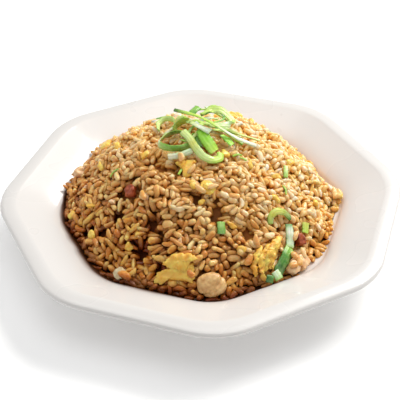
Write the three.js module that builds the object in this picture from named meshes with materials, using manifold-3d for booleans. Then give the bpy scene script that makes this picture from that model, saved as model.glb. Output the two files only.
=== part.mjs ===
// Fried rice plate: an octagonal porcelain dish, a mound of fried rice in its well, the egg, meat
// and onion lying in the rice, and a tangle of spring onion shreds on its top.
// Millimetres, +Z up, the table at z = 0 and the origin under the middle of the dish.

import * as THREE from 'three';
import { mergeVertices } from 'three/addons/utils/BufferGeometryUtils.js';
import { ConvexHull } from 'three/addons/math/ConvexHull.js';
import Module from 'manifold-3d';

const wasm = await Module();
wasm.setup();

const DEGREE = Math.PI / 180;

// ---------------------------------------------------------------- driving dimensions

// The dish. Corner radii reach the sharp corner of the octagon, which a rounding then cuts back.
const SIDES = 8;
const DISH_CORNER = 109.8;
const DISH_HEIGHT = 26;
const LIP_WIDTH = 8.5;
const LIP_THICKNESS = 3.8;
const WELL_CORNER = 76;
const WELL_FLOOR = 12;
const FLOOR_THICKNESS = 6;
const FOOT_CORNER = 66;
const FOOT_WIDTH = 4.5;
const ROUNDING = 0.355; // corner rounding, as a share of the corner radius
const FOOT_ROUNDING = 0.6;
const CORNER_STEPS = 4;

// The mound of rice, on the well's floor.
const MOUND_X = -2.1;
const MOUND_Y = 3.4;
const MOUND_RADIUS = 75.3;
const MOUND_RISE = 44;
const MOUND_FULLNESS = 2.2; // 2 is a paraboloid, more is a fuller dome
const PLAN_WAVES = [ // how the plan departs from a circle: waves around, share of radius, where
  [2, -0.019, 0],
  [3, 0.018, 30 * DEGREE],
  [4, 0.011, -33 * DEGREE],
];
const SPILL_REACH = 5; // a few spoonfuls slid outwards on the right
const SPILL_AZIMUTH = 0;
const SPILL_SPREAD = 9 * DEGREE;
const LUMP_WAVES = [ // broad lumps of the mound: height, wavelength, heading, shift
  [0.9, 37, 20 * DEGREE, 0.6],
  [0.8, 29, 95 * DEGREE, 2.1],
  [0.6, 19, 150 * DEGREE, 4.0],
  [0.5, 14, 60 * DEGREE, 1.2],
];

// Cooked grains, and the relief they give the mound.
const GRAIN_LENGTH = 7.6;
const GRAIN_SPACING = 4.55;
const GRAIN_RISE = 0.9;
const GRAIN_ENDS = [-0.3, 0.3]; // the two high points of a grain, as shares of its length
const GRAIN_ENDS_APART = 1.6;
const GRAIN_TO_EDGE = 1.2;
const GRAIN_TO_CRUMB = 3;
const PIT_SPACING = 2.8;
const PIT_TO_GRAIN = 1.9;
const PIT_DEPTH = 1.5;
const SCATTER_TRIES = 160; // tries for each place that a scatter could fill
const MOUND_EDGE_POINTS = 72;
const EDGE_SUNK = 1;
const EYE_HEIGHT = 9; // the point inside the mound that its surface is seen from

const CLEARANCE = 0.35; // left between neighbouring pieces
const SEED = 20317;

// ---------------------------------------------------------------- shared helpers

function seededRandom(seed) {
  let state = seed >>> 0;
  return () => {
    state = (Math.imul(state, 1664525) + 1013904223) >>> 0;
    return state / 4294967296;
  };
}

// Keeps the positions alone, shared vertices merged and the slivers at a lathe's axis dropped.
function positionsOnly(source) {
  source.deleteAttribute('normal');
  source.deleteAttribute('uv');
  const geometry = mergeVertices(source, 1e-4);
  const index = [];
  for (let k = 0; k < geometry.index.count; k += 3) {
    const corners = [0, 1, 2].map((step) => geometry.index.getX(k + step));
    if (new Set(corners).size === 3) index.push(...corners);
  }
  geometry.setIndex(index);
  return geometry;
}

function toSolid(geometry) {
  return new wasm.Manifold(new wasm.Mesh({
    numProp: 3,
    vertProperties: new Float32Array(geometry.attributes.position.array),
    triVerts: new Uint32Array(geometry.index.array),
  }));
}

function toGeometry(solid) {
  const mesh = solid.getMesh();
  const geometry = new THREE.BufferGeometry();
  geometry.setAttribute('position', new THREE.BufferAttribute(new Float32Array(mesh.vertProperties), 3));
  geometry.setIndex(new THREE.BufferAttribute(new Uint32Array(mesh.triVerts), 1));
  return geometry;
}

// Moves every vertex by a function of its place.
function reshape(geometry, move) {
  const position = geometry.attributes.position;
  const point = new THREE.Vector3();
  for (let i = 0; i < position.count; i += 1) {
    point.fromBufferAttribute(position, i);
    move(point);
    position.setXYZ(i, point.x, point.y, point.z);
  }
  return geometry;
}

// ---------------------------------------------------------------- the octagon

const HALF_SIDE = Math.PI / SIDES;
const FIRST_CORNER = -Math.PI / 2;

// Polar radius of an octagon of corner radius 1, corners rounded.
function octagonReach(azimuth, rounding) {
  const around = (azimuth - FIRST_CORNER) / (2 * HALF_SIDE);
  const offCorner = Math.abs(around - Math.round(around)) * 2 * HALF_SIDE;
  const arcCentre = 1 - rounding / Math.cos(HALF_SIDE);
  const arcEnd = Math.atan2(
    rounding * Math.sin(HALF_SIDE),
    arcCentre + rounding * Math.cos(HALF_SIDE),
  );
  if (offCorner < arcEnd) {
    const across = arcCentre * Math.sin(offCorner);
    return arcCentre * Math.cos(offCorner) + Math.sqrt(rounding ** 2 - across ** 2);
  }
  return Math.cos(HALF_SIDE) / Math.cos(HALF_SIDE - offCorner);
}

// Azimuths that take in both ends of every flat side and the steps of every corner.
function octagonAzimuths(rounding) {
  const azimuths = [];
  for (let corner = 0; corner < SIDES; corner += 1) {
    const middle = FIRST_CORNER + corner * 2 * HALF_SIDE;
    const arcCentre = 1 - rounding / Math.cos(HALF_SIDE);
    for (let step = 0; step <= CORNER_STEPS; step += 1) {
      const turn = HALF_SIDE * (2 * step / CORNER_STEPS - 1);
      const along = arcCentre + rounding * Math.cos(turn);
      azimuths.push(middle + Math.atan2(rounding * Math.sin(turn), along));
    }
  }
  return azimuths;
}

// ---------------------------------------------------------------- the dish

const WELL_TOP_CORNER = WELL_CORNER + 3;
const WELL_TOP = WELL_FLOOR + 6;
const LIP_INNER_CORNER = DISH_CORNER - LIP_WIDTH;

// Corner radius and height of each station, from the well's edge over the lip to the foot.
const DISH_TOP = [
  [WELL_CORNER, WELL_FLOOR],
  [WELL_TOP_CORNER, WELL_TOP],
  [LIP_INNER_CORNER - 2, DISH_HEIGHT - 0.9],
  [LIP_INNER_CORNER, DISH_HEIGHT - 0.1],
  [LIP_INNER_CORNER + 3, DISH_HEIGHT],
  [DISH_CORNER - 1.6, DISH_HEIGHT - 0.5],
  [DISH_CORNER - 0.3, DISH_HEIGHT - 1.5],
  [DISH_CORNER, DISH_HEIGHT - 2.4],
];
const DISH_UNDER = [
  [DISH_CORNER - 1.2, DISH_HEIGHT - LIP_THICKNESS],
  [LIP_INNER_CORNER - 3, DISH_HEIGHT - LIP_THICKNESS - 2],
  [WELL_TOP_CORNER + 3, WELL_FLOOR],
];
const DISH_FOOT = [
  [FOOT_CORNER + 3.5, FLOOR_THICKNESS - 0.4],
  [FOOT_CORNER + 0.6, FLOOR_THICKNESS - 3],
  [FOOT_CORNER, 0],
  [FOOT_CORNER - FOOT_WIDTH, 0],
  [FOOT_CORNER - FOOT_WIDTH - 1.5, WELL_FLOOR - FLOOR_THICKNESS],
];

function dishGeometry() {
  const stations = [
    ...DISH_TOP.map(([corner, z]) => [corner, z, ROUNDING]),
    ...DISH_UNDER.map(([corner, z]) => [corner, z, ROUNDING]),
    ...DISH_FOOT.map(([corner, z]) => [corner, z, FOOT_ROUNDING]),
  ];
  const profile = [
    new THREE.Vector2(0, WELL_FLOOR),
    ...stations.map(([corner, z]) => new THREE.Vector2(corner, z)),
    new THREE.Vector2(0, WELL_FLOOR - FLOOR_THICKNESS),
  ];
  const azimuthSets = new Map([ROUNDING, FOOT_ROUNDING].map((r) => [r, octagonAzimuths(r)]));
  const around = azimuthSets.get(ROUNDING).length;
  const geometry = new THREE.LatheGeometry(profile.reverse(), around);
  const position = geometry.attributes.position;
  for (let i = 0; i < position.count; i += 1) {
    const station = stations[stations.length - i % profile.length];
    if (station === undefined) {
      const height = i % profile.length === 0 ? WELL_FLOOR - FLOOR_THICKNESS : WELL_FLOOR;
      position.setXYZ(i, 0, 0, height);
      continue;
    }
    const [corner, height, rounding] = station;
    const azimuth = azimuthSets.get(rounding)[Math.floor(i / profile.length) % around];
    const reach = corner * octagonReach(azimuth, rounding);
    position.setXYZ(i, reach * Math.cos(azimuth), reach * Math.sin(azimuth), height);
  }
  return positionsOnly(geometry);
}

// Height of the dish's upper side over a place in the well or on its slope.
function dishSurface(x, y) {
  const corner = Math.hypot(x, y) / octagonReach(Math.atan2(y, x), ROUNDING);
  if (corner <= WELL_CORNER) return WELL_FLOOR;
  for (let k = 1; k < DISH_TOP.length; k += 1) {
    const [outer, outerHeight] = DISH_TOP[k];
    const [inner, innerHeight] = DISH_TOP[k - 1];
    if (corner <= outer) {
      return innerHeight + (outerHeight - innerHeight) * (corner - inner) / (outer - inner);
    }
  }
  return DISH_HEIGHT;
}

// ---------------------------------------------------------------- the mound's smooth form

function moundReach(azimuth) {
  let reach = 1;
  for (const [waves, share, phase] of PLAN_WAVES) {
    reach += share * Math.cos(waves * (azimuth - phase));
  }
  const offSpill = Math.atan2(Math.sin(azimuth - SPILL_AZIMUTH), Math.cos(azimuth - SPILL_AZIMUTH));
  return MOUND_RADIUS * reach + SPILL_REACH * Math.exp(-((offSpill / SPILL_SPREAD) ** 2));
}

function moundHeight(x, y) {
  const dx = x - MOUND_X;
  const dy = y - MOUND_Y;
  const share = Math.hypot(dx, dy) / moundReach(Math.atan2(dy, dx));
  let height = WELL_FLOOR + MOUND_RISE * (1 - share ** MOUND_FULLNESS);
  for (const [size, length, heading, shift] of LUMP_WAVES) {
    const along = x * Math.cos(heading) + y * Math.sin(heading);
    height += size * Math.sin(2 * Math.PI * along / length + shift);
  }
  return height;
}

function moundNormal(x, y) {
  const step = 2;
  const slopeX = (moundHeight(x + step, y) - moundHeight(x - step, y)) / (2 * step);
  const slopeY = (moundHeight(x, y + step) - moundHeight(x, y - step)) / (2 * step);
  return new THREE.Vector3(-slopeX, -slopeY, 1).normalize();
}

// A place at some lift above the mound's smooth form.
function onMound(x, y, lift) {
  return new THREE.Vector3(x, y, moundHeight(x, y)).addScaledVector(moundNormal(x, y), lift);
}

// Where the mound's side comes down to `sunk` below the dish, from the mound's middle outwards.
function findFoot(azimuth, sunk) {
  let inside = 0.5 * MOUND_RADIUS;
  let outside = 1.3 * MOUND_RADIUS;
  for (let halving = 0; halving < 20; halving += 1) {
    const middle = (inside + outside) / 2;
    const x = MOUND_X + middle * Math.cos(azimuth);
    const y = MOUND_Y + middle * Math.sin(azimuth);
    if (moundHeight(x, y) > dishSurface(x, y) - sunk) inside = middle;
    else outside = middle;
  }
  return inside;
}

const FOOT_TABLE = Array.from({ length: 360 }, (_, degree) => findFoot(degree * DEGREE, 0));

function footDistance(azimuth) {
  const degree = Math.round(azimuth / DEGREE);
  return FOOT_TABLE[((degree % 360) + 360) % 360];
}

// ---------------------------------------------------------------- pieces laid on the mound

// A flat bar bent along a route of [x, y, lift]. Its width lies in the mound's surface, or points
// along `across`; `lean` then turns it about the route, from lying flat to standing on edge.
function ribbonGeometry(piece, extra = 0) {
  const { route, width, thickness, steps = 10, across = null, taper = 0, lean = 0 } = piece;
  const curve = new THREE.CatmullRomCurve3(route.map(([x, y, lift]) => onMound(x, y, lift)));
  const length = curve.getLength();
  const bar = positionsOnly(new THREE.BoxGeometry(length, width, thickness, steps, 1, 1));
  return reshape(bar, (point) => {
    const u = point.x / length + 0.5;
    const centre = curve.getPointAt(THREE.MathUtils.clamp(u, 0, 1));
    const tangent = curve.getTangentAt(THREE.MathUtils.clamp(u, 0, 1));
    const side = across === null
      ? moundNormal(centre.x, centre.y).cross(tangent)
      : new THREE.Vector3(...across).addScaledVector(tangent, -tangent.dot(new THREE.Vector3(...across)));
    side.normalize().applyAxisAngle(tangent, lean * DEGREE);
    const up = new THREE.Vector3().crossVectors(tangent, side).normalize();
    const fullness = 1 - taper * Math.abs(2 * u - 1) ** 3;
    const wide = point.y * fullness + Math.sign(point.y) * extra;
    const thick = point.z + Math.sign(point.z) * extra;
    const end = (Math.abs(u - 0.5) > 0.4999 ? Math.sign(u - 0.5) : 0) * extra;
    point.copy(centre).addScaledVector(side, wide).addScaledVector(up, thick)
      .addScaledVector(tangent, end);
  });
}

// The frame of a piece that lies in the mound's surface, turned about the surface's normal;
// `level` tips it from the mound's slope towards level.
function seat({ x, y, lift = 0, turn = 0, level = 0 }) {
  const normal = moundNormal(x, y).lerp(new THREE.Vector3(0, 0, 1), level).normalize();
  const ahead = new THREE.Vector3(Math.cos(turn * DEGREE), Math.sin(turn * DEGREE), 0);
  ahead.addScaledVector(normal, -ahead.dot(normal)).normalize();
  const side = new THREE.Vector3().crossVectors(normal, ahead);
  return new THREE.Matrix4().makeBasis(ahead, side, normal).setPosition(onMound(x, y, lift));
}

// A soft round slice: a ball squashed to size, its surface swelling and sinking a little.
function sliceGeometry(piece, extra = 0) {
  const { size, detail, depth } = piece;
  const ball = positionsOnly(new THREE.IcosahedronGeometry(1, detail));
  reshape(ball, (point) => {
    const swell = 1 + depth * Math.sin(1.7 * point.x + 1.3 * point.y)
      + 0.6 * depth * Math.sin(2.3 * point.y - 0.9 * point.z);
    point.set(
      point.x * (size[0] / 2 * swell + extra),
      point.y * (size[1] / 2 * swell + extra),
      point.z * (size[2] / 2 * swell + extra),
    );
  });
  return ball.applyMatrix4(seat(piece));
}

// One flap of egg: an outline of [ahead, side] points, filled by rings from its upper to its
// lower face, with a slow wave in it.
const FLAP_SIDES = 16;
const FLAP_RINGS = [ // share of the outline, height as a share of the thickness
  [0.62, 0.5], [1, 0.08], [0.72, -0.5],
];
const FLAP_WAVE = 0.4;
const FLAP_WAVE_RATE = 0.7;

function flapSolid({ outline, thickness, rise = 0 }, extra) {
  const curve = new THREE.CatmullRomCurve3(outline.map(([x, y]) => new THREE.Vector3(x, y, 0)), true);
  const rim = curve.getPoints(FLAP_SIDES).slice(0, FLAP_SIDES);
  if (THREE.ShapeUtils.isClockWise(rim)) rim.reverse();
  const middle = new THREE.Vector3();
  for (const corner of rim) middle.addScaledVector(corner, 1 / FLAP_SIDES);
  const points = [];
  const index = [];
  const addPoint = (x, y, height) => {
    const wave = FLAP_WAVE * Math.sin(FLAP_WAVE_RATE * x) * Math.cos(FLAP_WAVE_RATE * y);
    points.push(new THREE.Vector3(x, y, rise + wave + height * thickness + Math.sign(height) * extra));
  };
  for (const [share, height] of FLAP_RINGS) {
    for (const corner of rim) {
      const arm = corner.clone().sub(middle);
      arm.setLength(arm.length() * share + extra);
      addPoint(middle.x + arm.x, middle.y + arm.y, height);
    }
  }
  addPoint(middle.x, middle.y, FLAP_RINGS[0][1]);
  addPoint(middle.x, middle.y, FLAP_RINGS.at(-1)[1]);
  const top = FLAP_RINGS.length * FLAP_SIDES;
  const lastRing = top - FLAP_SIDES;
  for (let side = 0; side < FLAP_SIDES; side += 1) {
    const next = (side + 1) % FLAP_SIDES;
    index.push(top, side, next, top + 1, lastRing + next, lastRing + side);
    for (let ring = 0; ring < lastRing; ring += FLAP_SIDES) {
      index.push(ring + side, ring + FLAP_SIDES + side, ring + FLAP_SIDES + next);
      index.push(ring + side, ring + FLAP_SIDES + next, ring + next);
    }
  }
  const geometry = new THREE.BufferGeometry().setFromPoints(points);
  geometry.setIndex(index);
  return toSolid(geometry);
}

// A fold of egg: its flaps joined, seated in the mound's surface. Where a flap's edge is steep its
// clearance shrinks, so it is given more.
const FLAP_CLEARANCE = 1.5;

function foldGeometry(piece, extra = 0) {
  const [first, ...others] = piece.flaps.map((flap) => flapSolid(flap, extra * FLAP_CLEARANCE));
  const fold = others.reduce((sum, flap) => sum.add(flap), first);
  return toGeometry(fold).applyMatrix4(seat(piece));
}

// How far the corners of a cut cube are worn away: 0 leaves them sharp.
const DICE_WEAR = 0.5;

// A cut cube of meat or onion, its edges worn round.
function diceGeometry(piece, extra = 0) {
  const { size, phase = 0 } = piece;
  const dice = positionsOnly(new THREE.BoxGeometry(1, 1, 1, 2, 2, 2));
  reshape(dice, (point) => {
    const round = 1 - DICE_WEAR * Math.max(0, point.length() - 0.5);
    const skew = 1 + 0.08 * Math.sin(9 * point.x + 7 * point.y + 5 * point.z + phase);
    point.set(
      point.x * round * skew * (size[0] + 2 * extra),
      point.y * round * skew * (size[1] + 2 * extra),
      point.z * round * skew * (size[2] + 2 * extra),
    );
  });
  return dice.applyMatrix4(seat(piece));
}

// ---------------------------------------------------------------- what lies in the rice

// Folds of egg: torn flaps, one over the other.
const EGG = [
  {
    name: 'egg_fold_front',
    x: -17.9,
    y: -61.6,
    lift: 0.7,
    turn: -4,
    flaps: [
      {
        outline: [
          [-9.8, -5.2], [-6.4, -6.8], [-4.6, -4.6], [0.7, -4.8], [5.3, -5.3], [8.6, -6], [8.9, 2.6],
          [3, 3.5], [-3.2, 0.8], [-8, -1],
        ],
        thickness: 3,
      },
      {
        outline: [
          [-5.8, 3.4], [-3.2, 4.9], [-1.4, 7.5], [3.9, 7.9], [8.5, 7.6], [11.2, 5.1], [8.2, 3.8],
          [6.4, 0.6], [4.6, -2], [0.7, 0.7], [-2.6, 1],
        ],
        thickness: 2.6,
        rise: 1.2,
      },
    ],
  },
  {
    name: 'egg_fold_top',
    x: -9,
    y: -15.4,
    lift: 0.7,
    turn: -4,
    flaps: [
      {
        outline: [
          [-5.7, 2.9], [-3.6, 0.7], [-1.8, -1.8], [-1.3, -5.8], [0.8, -6.5], [2.8, -5.5], [3.6, -0.5],
          [5.1, 2.7], [1.5, 3.6], [-2.5, 3.8],
        ],
        thickness: 3,
      },
    ],
  },
  {
    name: 'egg_fold_middle',
    x: 0.2,
    y: -30.2,
    lift: 0.9,
    turn: -4,
    flaps: [
      {
        outline: [
          [-2.3, 3.8], [1.2, 4.3], [2.7, 1.7], [3.9, -1.4], [1.2, -4.2], [-1.7, -3.3], [-3.6, -1.6],
        ],
        thickness: 3.4,
      },
    ],
  },
  {
    name: 'egg_fold_back',
    x: 22,
    y: 52,
    lift: 0.7,
    turn: 30,
    flaps: [
      {
        outline: [[-7, 1], [-4, 5], [1, 4], [6, 5.4], [7.4, 0.4], [3, -4.6], [-2, -3.4], [-6, -4.4]],
        thickness: 3,
      },
      { outline: [[-3, 1], [1, 3.4], [5, 2], [4, -2.6], [-1, -2.4]], thickness: 2.4, rise: 1.3 },
    ],
  },
  {
    name: 'egg_fold_left',
    x: -50,
    y: 38,
    lift: 0.7,
    turn: 120,
    flaps: [
      { outline: [[-5.6, 0], [-2, 4], [2.4, 3.2], [5.6, 1], [3.6, -3.6], [-1.4, -2.8]], thickness: 3.2 },
    ],
  },
];

// Torn strips: routes are [x, y, lift above the mound].
const EGG_SHREDS = [
  {
    name: 'egg_shred_high',
    width: 3.2,
    route: [[34, -44.9, 1], [31.1, -49.8, 1.8], [28.9, -54.1, 2.2], [27.6, -58.2, 2], [27.2, -60.2, 1.6]],
  },
  {
    name: 'egg_shred_hook',
    width: 2.4,
    route: [
      [28, -51.4, 1], [25.6, -55, 1.6], [24.2, -58.4, 1.8], [23.3, -61.7, 1.7], [24, -63.4, 1.6],
      [26.6, -63.4, 1.6],
    ],
  },
  {
    name: 'egg_shred_low',
    width: 2.8,
    route: [[24.2, -53, 0.9], [21.2, -58, 1.4], [20, -61.4, 1.4], [20.4, -63.7, 1.2]],
  },
].map((piece) => ({ thickness: 2, taper: 0.5, ...piece }));

const ONION_IN_RICE = [
  {
    name: 'onion_ring_arch',
    width: 3.2,
    thickness: 1.3,
    route: [[30.4, -41.4, 0.4], [30.3, -38.4, 1.8], [32.9, -36, 2.4], [36.9, -34.6, 2.2], [41, -34.2, 0.8]],
  },
  {
    name: 'leek_white', width: 4.4, thickness: 1.6,
    route: [[39.7, -37.6, 1], [39.9, -41, 1.4], [39.7, -44.4, 1.3], [39.2, -46.8, 1.2]],
  },
  {
    name: 'leek_leaf', width: 4.8, thickness: 1.4,
    route: [[38.7, -48.2, 1.2], [36.8, -52.2, 1.3], [34.4, -56, 1.3], [31.8, -59.4, 1.3]],
  },
  {
    name: 'leek_tip', width: 4.4, thickness: 1.4,
    route: [[28.8, -60.6, 3], [29.8, -61.6, 3.5], [30.8, -62.8, 3.9]],
  },
  { name: 'leek_tip_dark', width: 3.6, thickness: 1.4, route: [[24.6, -63.4, 3.9], [27.2, -63.4, 4.3]] },
  {
    name: 'onion_bit_front', width: 4, thickness: 1.4,
    route: [[5.6, -44.7, 0.7], [5.4, -47.4, 0.9], [5.3, -49.9, 0.7]],
  },
  {
    name: 'onion_bit_right', width: 2.6, thickness: 1.4,
    route: [[42.9, -5.8, 0.6], [42.4, -9.2, 0.8], [41.9, -12.4, 0.6]],
  },
  {
    name: 'onion_bit_low', width: 4, thickness: 1.4,
    route: [[49.7, -32.8, 0.7], [49.1, -35, 0.9], [48.7, -37.4, 0.7]],
  },
  {
    name: 'leek_leaf_back', width: 4.6, thickness: 1.5,
    route: [[-26, 58, 0.9], [-21, 55.4, 1.2], [-15.4, 55.8, 0.9]],
  },
  {
    name: 'onion_bit_back', width: 3.6, thickness: 1.4,
    route: [[45, 37, 0.7], [43.4, 40, 0.9], [41, 42.4, 0.7]],
  },
].map((piece) => ({ steps: 6, ...piece }));

// A round, fine-grained slice near the front edge.
const SCALLOP = {
  name: 'scallop_slice', x: -1.3, y: -68, lift: 0.6, turn: 10, size: [14.5, 12.5, 8],
  detail: 2, depth: 0.06,
};

const DICE = [
  { name: 'pork_dice_right', x: 43.8, y: -51.8, lift: 1.2, turn: 54, size: [7.6, 7, 6] },
  {
    name: 'pork_dice_low', x: 38.9, y: -56.4, lift: 2.6, turn: 54, level: 0.3,
    size: [6.2, 5.6, 5.2], phase: 1,
  },
  { name: 'pork_red_left', x: -37, y: -19.6, lift: 0.4, turn: 60, size: [6, 4.6, 4], phase: 2 },
  { name: 'pork_red_right', x: 45.8, y: -41.6, lift: 0.3, turn: -70, size: [5.6, 3.8, 3.6], phase: 3 },
  { name: 'onion_dice_left', x: -44, y: -55, lift: 0.7, turn: 30, size: [5.4, 5, 4], phase: 4 },
  { name: 'pork_dice_back', x: 2, y: 68, lift: 0.3, turn: 15, size: [8, 7, 5.4], phase: 5 },
  { name: 'pork_dice_left', x: -66, y: 24, lift: 0.3, turn: -35, size: [6.4, 5.6, 4.6], phase: 6 },
];

// Crumbs of egg no bigger than a grain or two, part of the rice's own relief.
const CRUMB_SIZE = 5.2;
const CRUMB_RISE = 1.6;
const CRUMB_SHOULDER = 1;
const CRUMB_CORNERS = 6;
const CRUMBS = [
  [11.3, -9.4], [-39.6, -45.7], [11, -45.4], [14.2, -55.2], [-58.5, -13], [-52.8, 11.2], [-29.6, -3.3],
  [-43.4, 17.8], [-69, -8.6], [23.3, -13.5], [37.2, -12.4], [46, -1.3], [72.2, -4], [-14, 60], [30, 34],
  [-34, 44], [56, 24], [12, 40], [-58, -30], [58, -16], [34.6, -29], [-3.1, -35.9], [-6.8, -28.4],
];

// ---------------------------------------------------------------- the tangle on top

// Spring onion cut into fine shreds, which curl: routes are [x, y, lift above the mound].
const SHRED_THICKNESS = 1.2;
const SHREDS = [
  {
    name: 'shred_ring_left',
    width: 3.6,
    steps: 18,
    lean: 62,
    route: [
      [-6.2, -0.6, 2.8], [-8.2, 5, 2.8], [-14, 8, 2.8], [-20, 5.5, 2.8], [-20.6, -3.4, 2.8],
      [-14.9, -7, 2.8], [-9, -6, 2.9], [-5.8, -4.4, 2.9],
    ],
  },
  {
    name: 'shred_ring_far',
    width: 3,
    steps: 14,
    lean: 60,
    route: [
      [-21.6, 14.4, 2.6], [-20.6, 22, 2.7], [-16.7, 24.5, 2.8], [-12.6, 22, 2.7], [-12.4, 16.8, 2.7],
      [-15, 13.6, 2.6],
    ],
  },
  {
    name: 'shred_white_low', width: 3.2, steps: 8, lean: 30,
    route: [[-17.7, -11, 3.4], [-11.8, -10.4, 3.4], [-5.4, -9.4, 3.3]],
  },
  {
    name: 'shred_broad', width: 5.8, steps: 8,
    route: [[1.3, 0, 5.2], [2.6, -4.3, 4.6], [4, -8, 3.6], [5.4, -10.4, 2.6]],
  },
  {
    name: 'shred_broad_right', width: 4.8, steps: 6,
    route: [[9.2, -1.4, 2.8], [11.6, -3.6, 3], [14, -5.4, 2.6]],
  },
  {
    name: 'shred_dark_short', width: 3, steps: 6,
    route: [[-3.4, 2.4, 3.2], [-1.8, -2.4, 3], [-0.8, -7, 2.4]],
  },
  {
    name: 'shred_hook',
    width: 4,
    steps: 16,
    lean: 14,
    route: [
      [-8.6, 2.6, 6], [-5.6, -2.6, 6], [-3.2, -9.6, 5], [0, -14.4, 3.2], [3.8, -16, 2.6],
      [7, -14.2, 2.5], [8, -10.6, 2.6],
    ],
  },
  {
    name: 'shred_arch',
    width: 3.8,
    steps: 10,
    across: [0.53, 0.21, -0.82],
    route: [[-12.4, 8.4, 3.4], [-11, 10.8, 4.8], [-7.8, 12.8, 5.6], [-4.4, 14, 5.8]],
  },
  {
    name: 'shred_pale_left', width: 3.4, steps: 6,
    route: [[-10.8, 16.2, 5], [-8.6, 17.4, 5.8], [-6, 17.6, 6.2]],
  },
  {
    name: 'shred_loop_big',
    width: 4.2,
    steps: 24,
    across: [0.66, 0.75, 0],
    route: [
      [2.6, 11.4, 5.6], [7.2, 9.4, 4.4], [11.2, 8.8, 4], [14.4, 10.8, 4.6], [15.2, 14.8, 6.2],
      [13, 17.6, 8.2], [8, 17.8, 9.6], [3, 16.4, 9.6], [0.2, 15.2, 8.2],
    ],
  },
  {
    name: 'shred_right',
    width: 2.8,
    steps: 12,
    route: [[6.8, 2.4, 5.2], [11.3, 3.2, 4.8], [17.1, 4, 3.8], [23.6, 4, 2.9], [29.6, 2.8, 2.3]],
  },
  {
    name: 'shred_dark_top', width: 4.2, steps: 5,
    route: [[-3.6, 16.4, 7], [-2.4, 18, 7.6], [-1.2, 19.6, 7.8]],
  },
  {
    name: 'shred_pale_back', width: 3.2, steps: 5,
    route: [[1.4, 20, 7.6], [3.6, 21.4, 7.8], [6, 22, 7.4]],
  },
  {
    name: 'shred_pale_middle',
    width: 3.2,
    steps: 8,
    route: [[-5, 5.4, 7.6], [-1.6, 2.4, 7.5], [2.2, -0.8, 7], [4.6, -2.9, 6.3]],
  },
  {
    name: 'shred_long',
    width: 2.4,
    steps: 20,
    route: [[-8, 17.6, 12], [-2.4, 6, 10.6], [6.1, -1.6, 8.4], [15, -2.4, 5.2], [27.3, -1, 2.4]],
  },
].map((piece) => ({ thickness: SHRED_THICKNESS, ...piece }));

// ---------------------------------------------------------------- the rice

// Every piece that lies in or on the rice, with what makes it and its finish.
const LAID = [
  ...EGG.map((piece) => ({ piece, make: foldGeometry, finish: 'egg' })),
  ...EGG_SHREDS.map((piece) => ({ piece, make: ribbonGeometry, finish: 'egg' })),
  ...ONION_IN_RICE.map((piece) => ({ piece, make: ribbonGeometry, finish: 'onion' })),
  { piece: SCALLOP, make: sliceGeometry, finish: 'scallop' },
  ...DICE.map((piece) => ({ piece, make: diceGeometry, finish: 'pork' })),
  ...SHREDS.map((piece) => ({ piece, make: ribbonGeometry, finish: 'shred' })),
];

// Points on the mound at least `spacing` from each other and `apart` from those already there.
function scatter(spacing, apart, taken, random) {
  const spots = [];
  const tries = SCATTER_TRIES * (MOUND_RADIUS / spacing) ** 2;
  for (let k = 0; k < tries; k += 1) {
    const azimuth = 2 * Math.PI * random();
    const distance = (footDistance(azimuth) - spacing / 2) * Math.sqrt(random());
    const x = MOUND_X + distance * Math.cos(azimuth);
    const y = MOUND_Y + distance * Math.sin(azimuth);
    const spot = onMound(x, y, 0);
    if (taken.some((other) => other.distanceToSquared(spot) < apart ** 2)) continue;
    if (spots.some((other) => other.distanceToSquared(spot) < spacing ** 2)) continue;
    spots.push(spot);
  }
  return spots;
}

// The relief: crumbs and grains as raised points, the gaps between them as sunken ones.
function reliefPoints() {
  const random = seededRandom(SEED);
  const raised = [];
  const level = [];
  const raise = (x, y, lift) => {
    raised.push(onMound(x, y, lift));
    level.push(onMound(x, y, 0));
  };
  for (const [x, y] of CRUMBS) {
    raise(x, y, CRUMB_RISE);
    for (let corner = 0; corner < CRUMB_CORNERS; corner += 1) {
      const turn = corner * 2 * Math.PI / CRUMB_CORNERS + x;
      raise(x + CRUMB_SIZE / 2 * Math.cos(turn), y + CRUMB_SIZE / 2 * Math.sin(turn), CRUMB_SHOULDER);
    }
  }
  const crumbPoints = [...level];
  for (const grain of scatter(GRAIN_SPACING, GRAIN_TO_CRUMB, crumbPoints, random)) {
    const turn = Math.PI * random();
    const rise = GRAIN_RISE * (0.6 + 0.8 * random());
    for (const end of GRAIN_ENDS) {
      const x = grain.x + end * GRAIN_LENGTH * Math.cos(turn);
      const y = grain.y + end * GRAIN_LENGTH * Math.sin(turn);
      const place = onMound(x, y, 0);
      if (level.some((other) => other.distanceToSquared(place) < GRAIN_ENDS_APART ** 2)) continue;
      const outward = Math.hypot(x - MOUND_X, y - MOUND_Y);
      const azimuth = Math.atan2(y - MOUND_Y, x - MOUND_X);
      if (outward > footDistance(azimuth) - GRAIN_TO_EDGE) continue;
      raise(x, y, rise);
    }
  }
  const pits = scatter(PIT_SPACING, PIT_TO_GRAIN, level, random);
  return [...raised, ...pits.map(({ x, y }) => onMound(x, y, -PIT_DEPTH))];
}

// The mound's edge and underside, sunk a little into the dish, which then cuts them to its form.
function edgePoints() {
  const points = [new THREE.Vector3(MOUND_X, MOUND_Y, WELL_FLOOR - EDGE_SUNK)];
  for (let k = 0; k < MOUND_EDGE_POINTS; k += 1) {
    const azimuth = 2 * Math.PI * k / MOUND_EDGE_POINTS;
    const foot = findFoot(azimuth, EDGE_SUNK);
    const x = MOUND_X + foot * Math.cos(azimuth);
    const y = MOUND_Y + foot * Math.sin(azimuth);
    points.push(new THREE.Vector3(x, y, moundHeight(x, y)));
    points.push(new THREE.Vector3(x, y, WELL_FLOOR - EDGE_SUNK));
  }
  return points;
}

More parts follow.
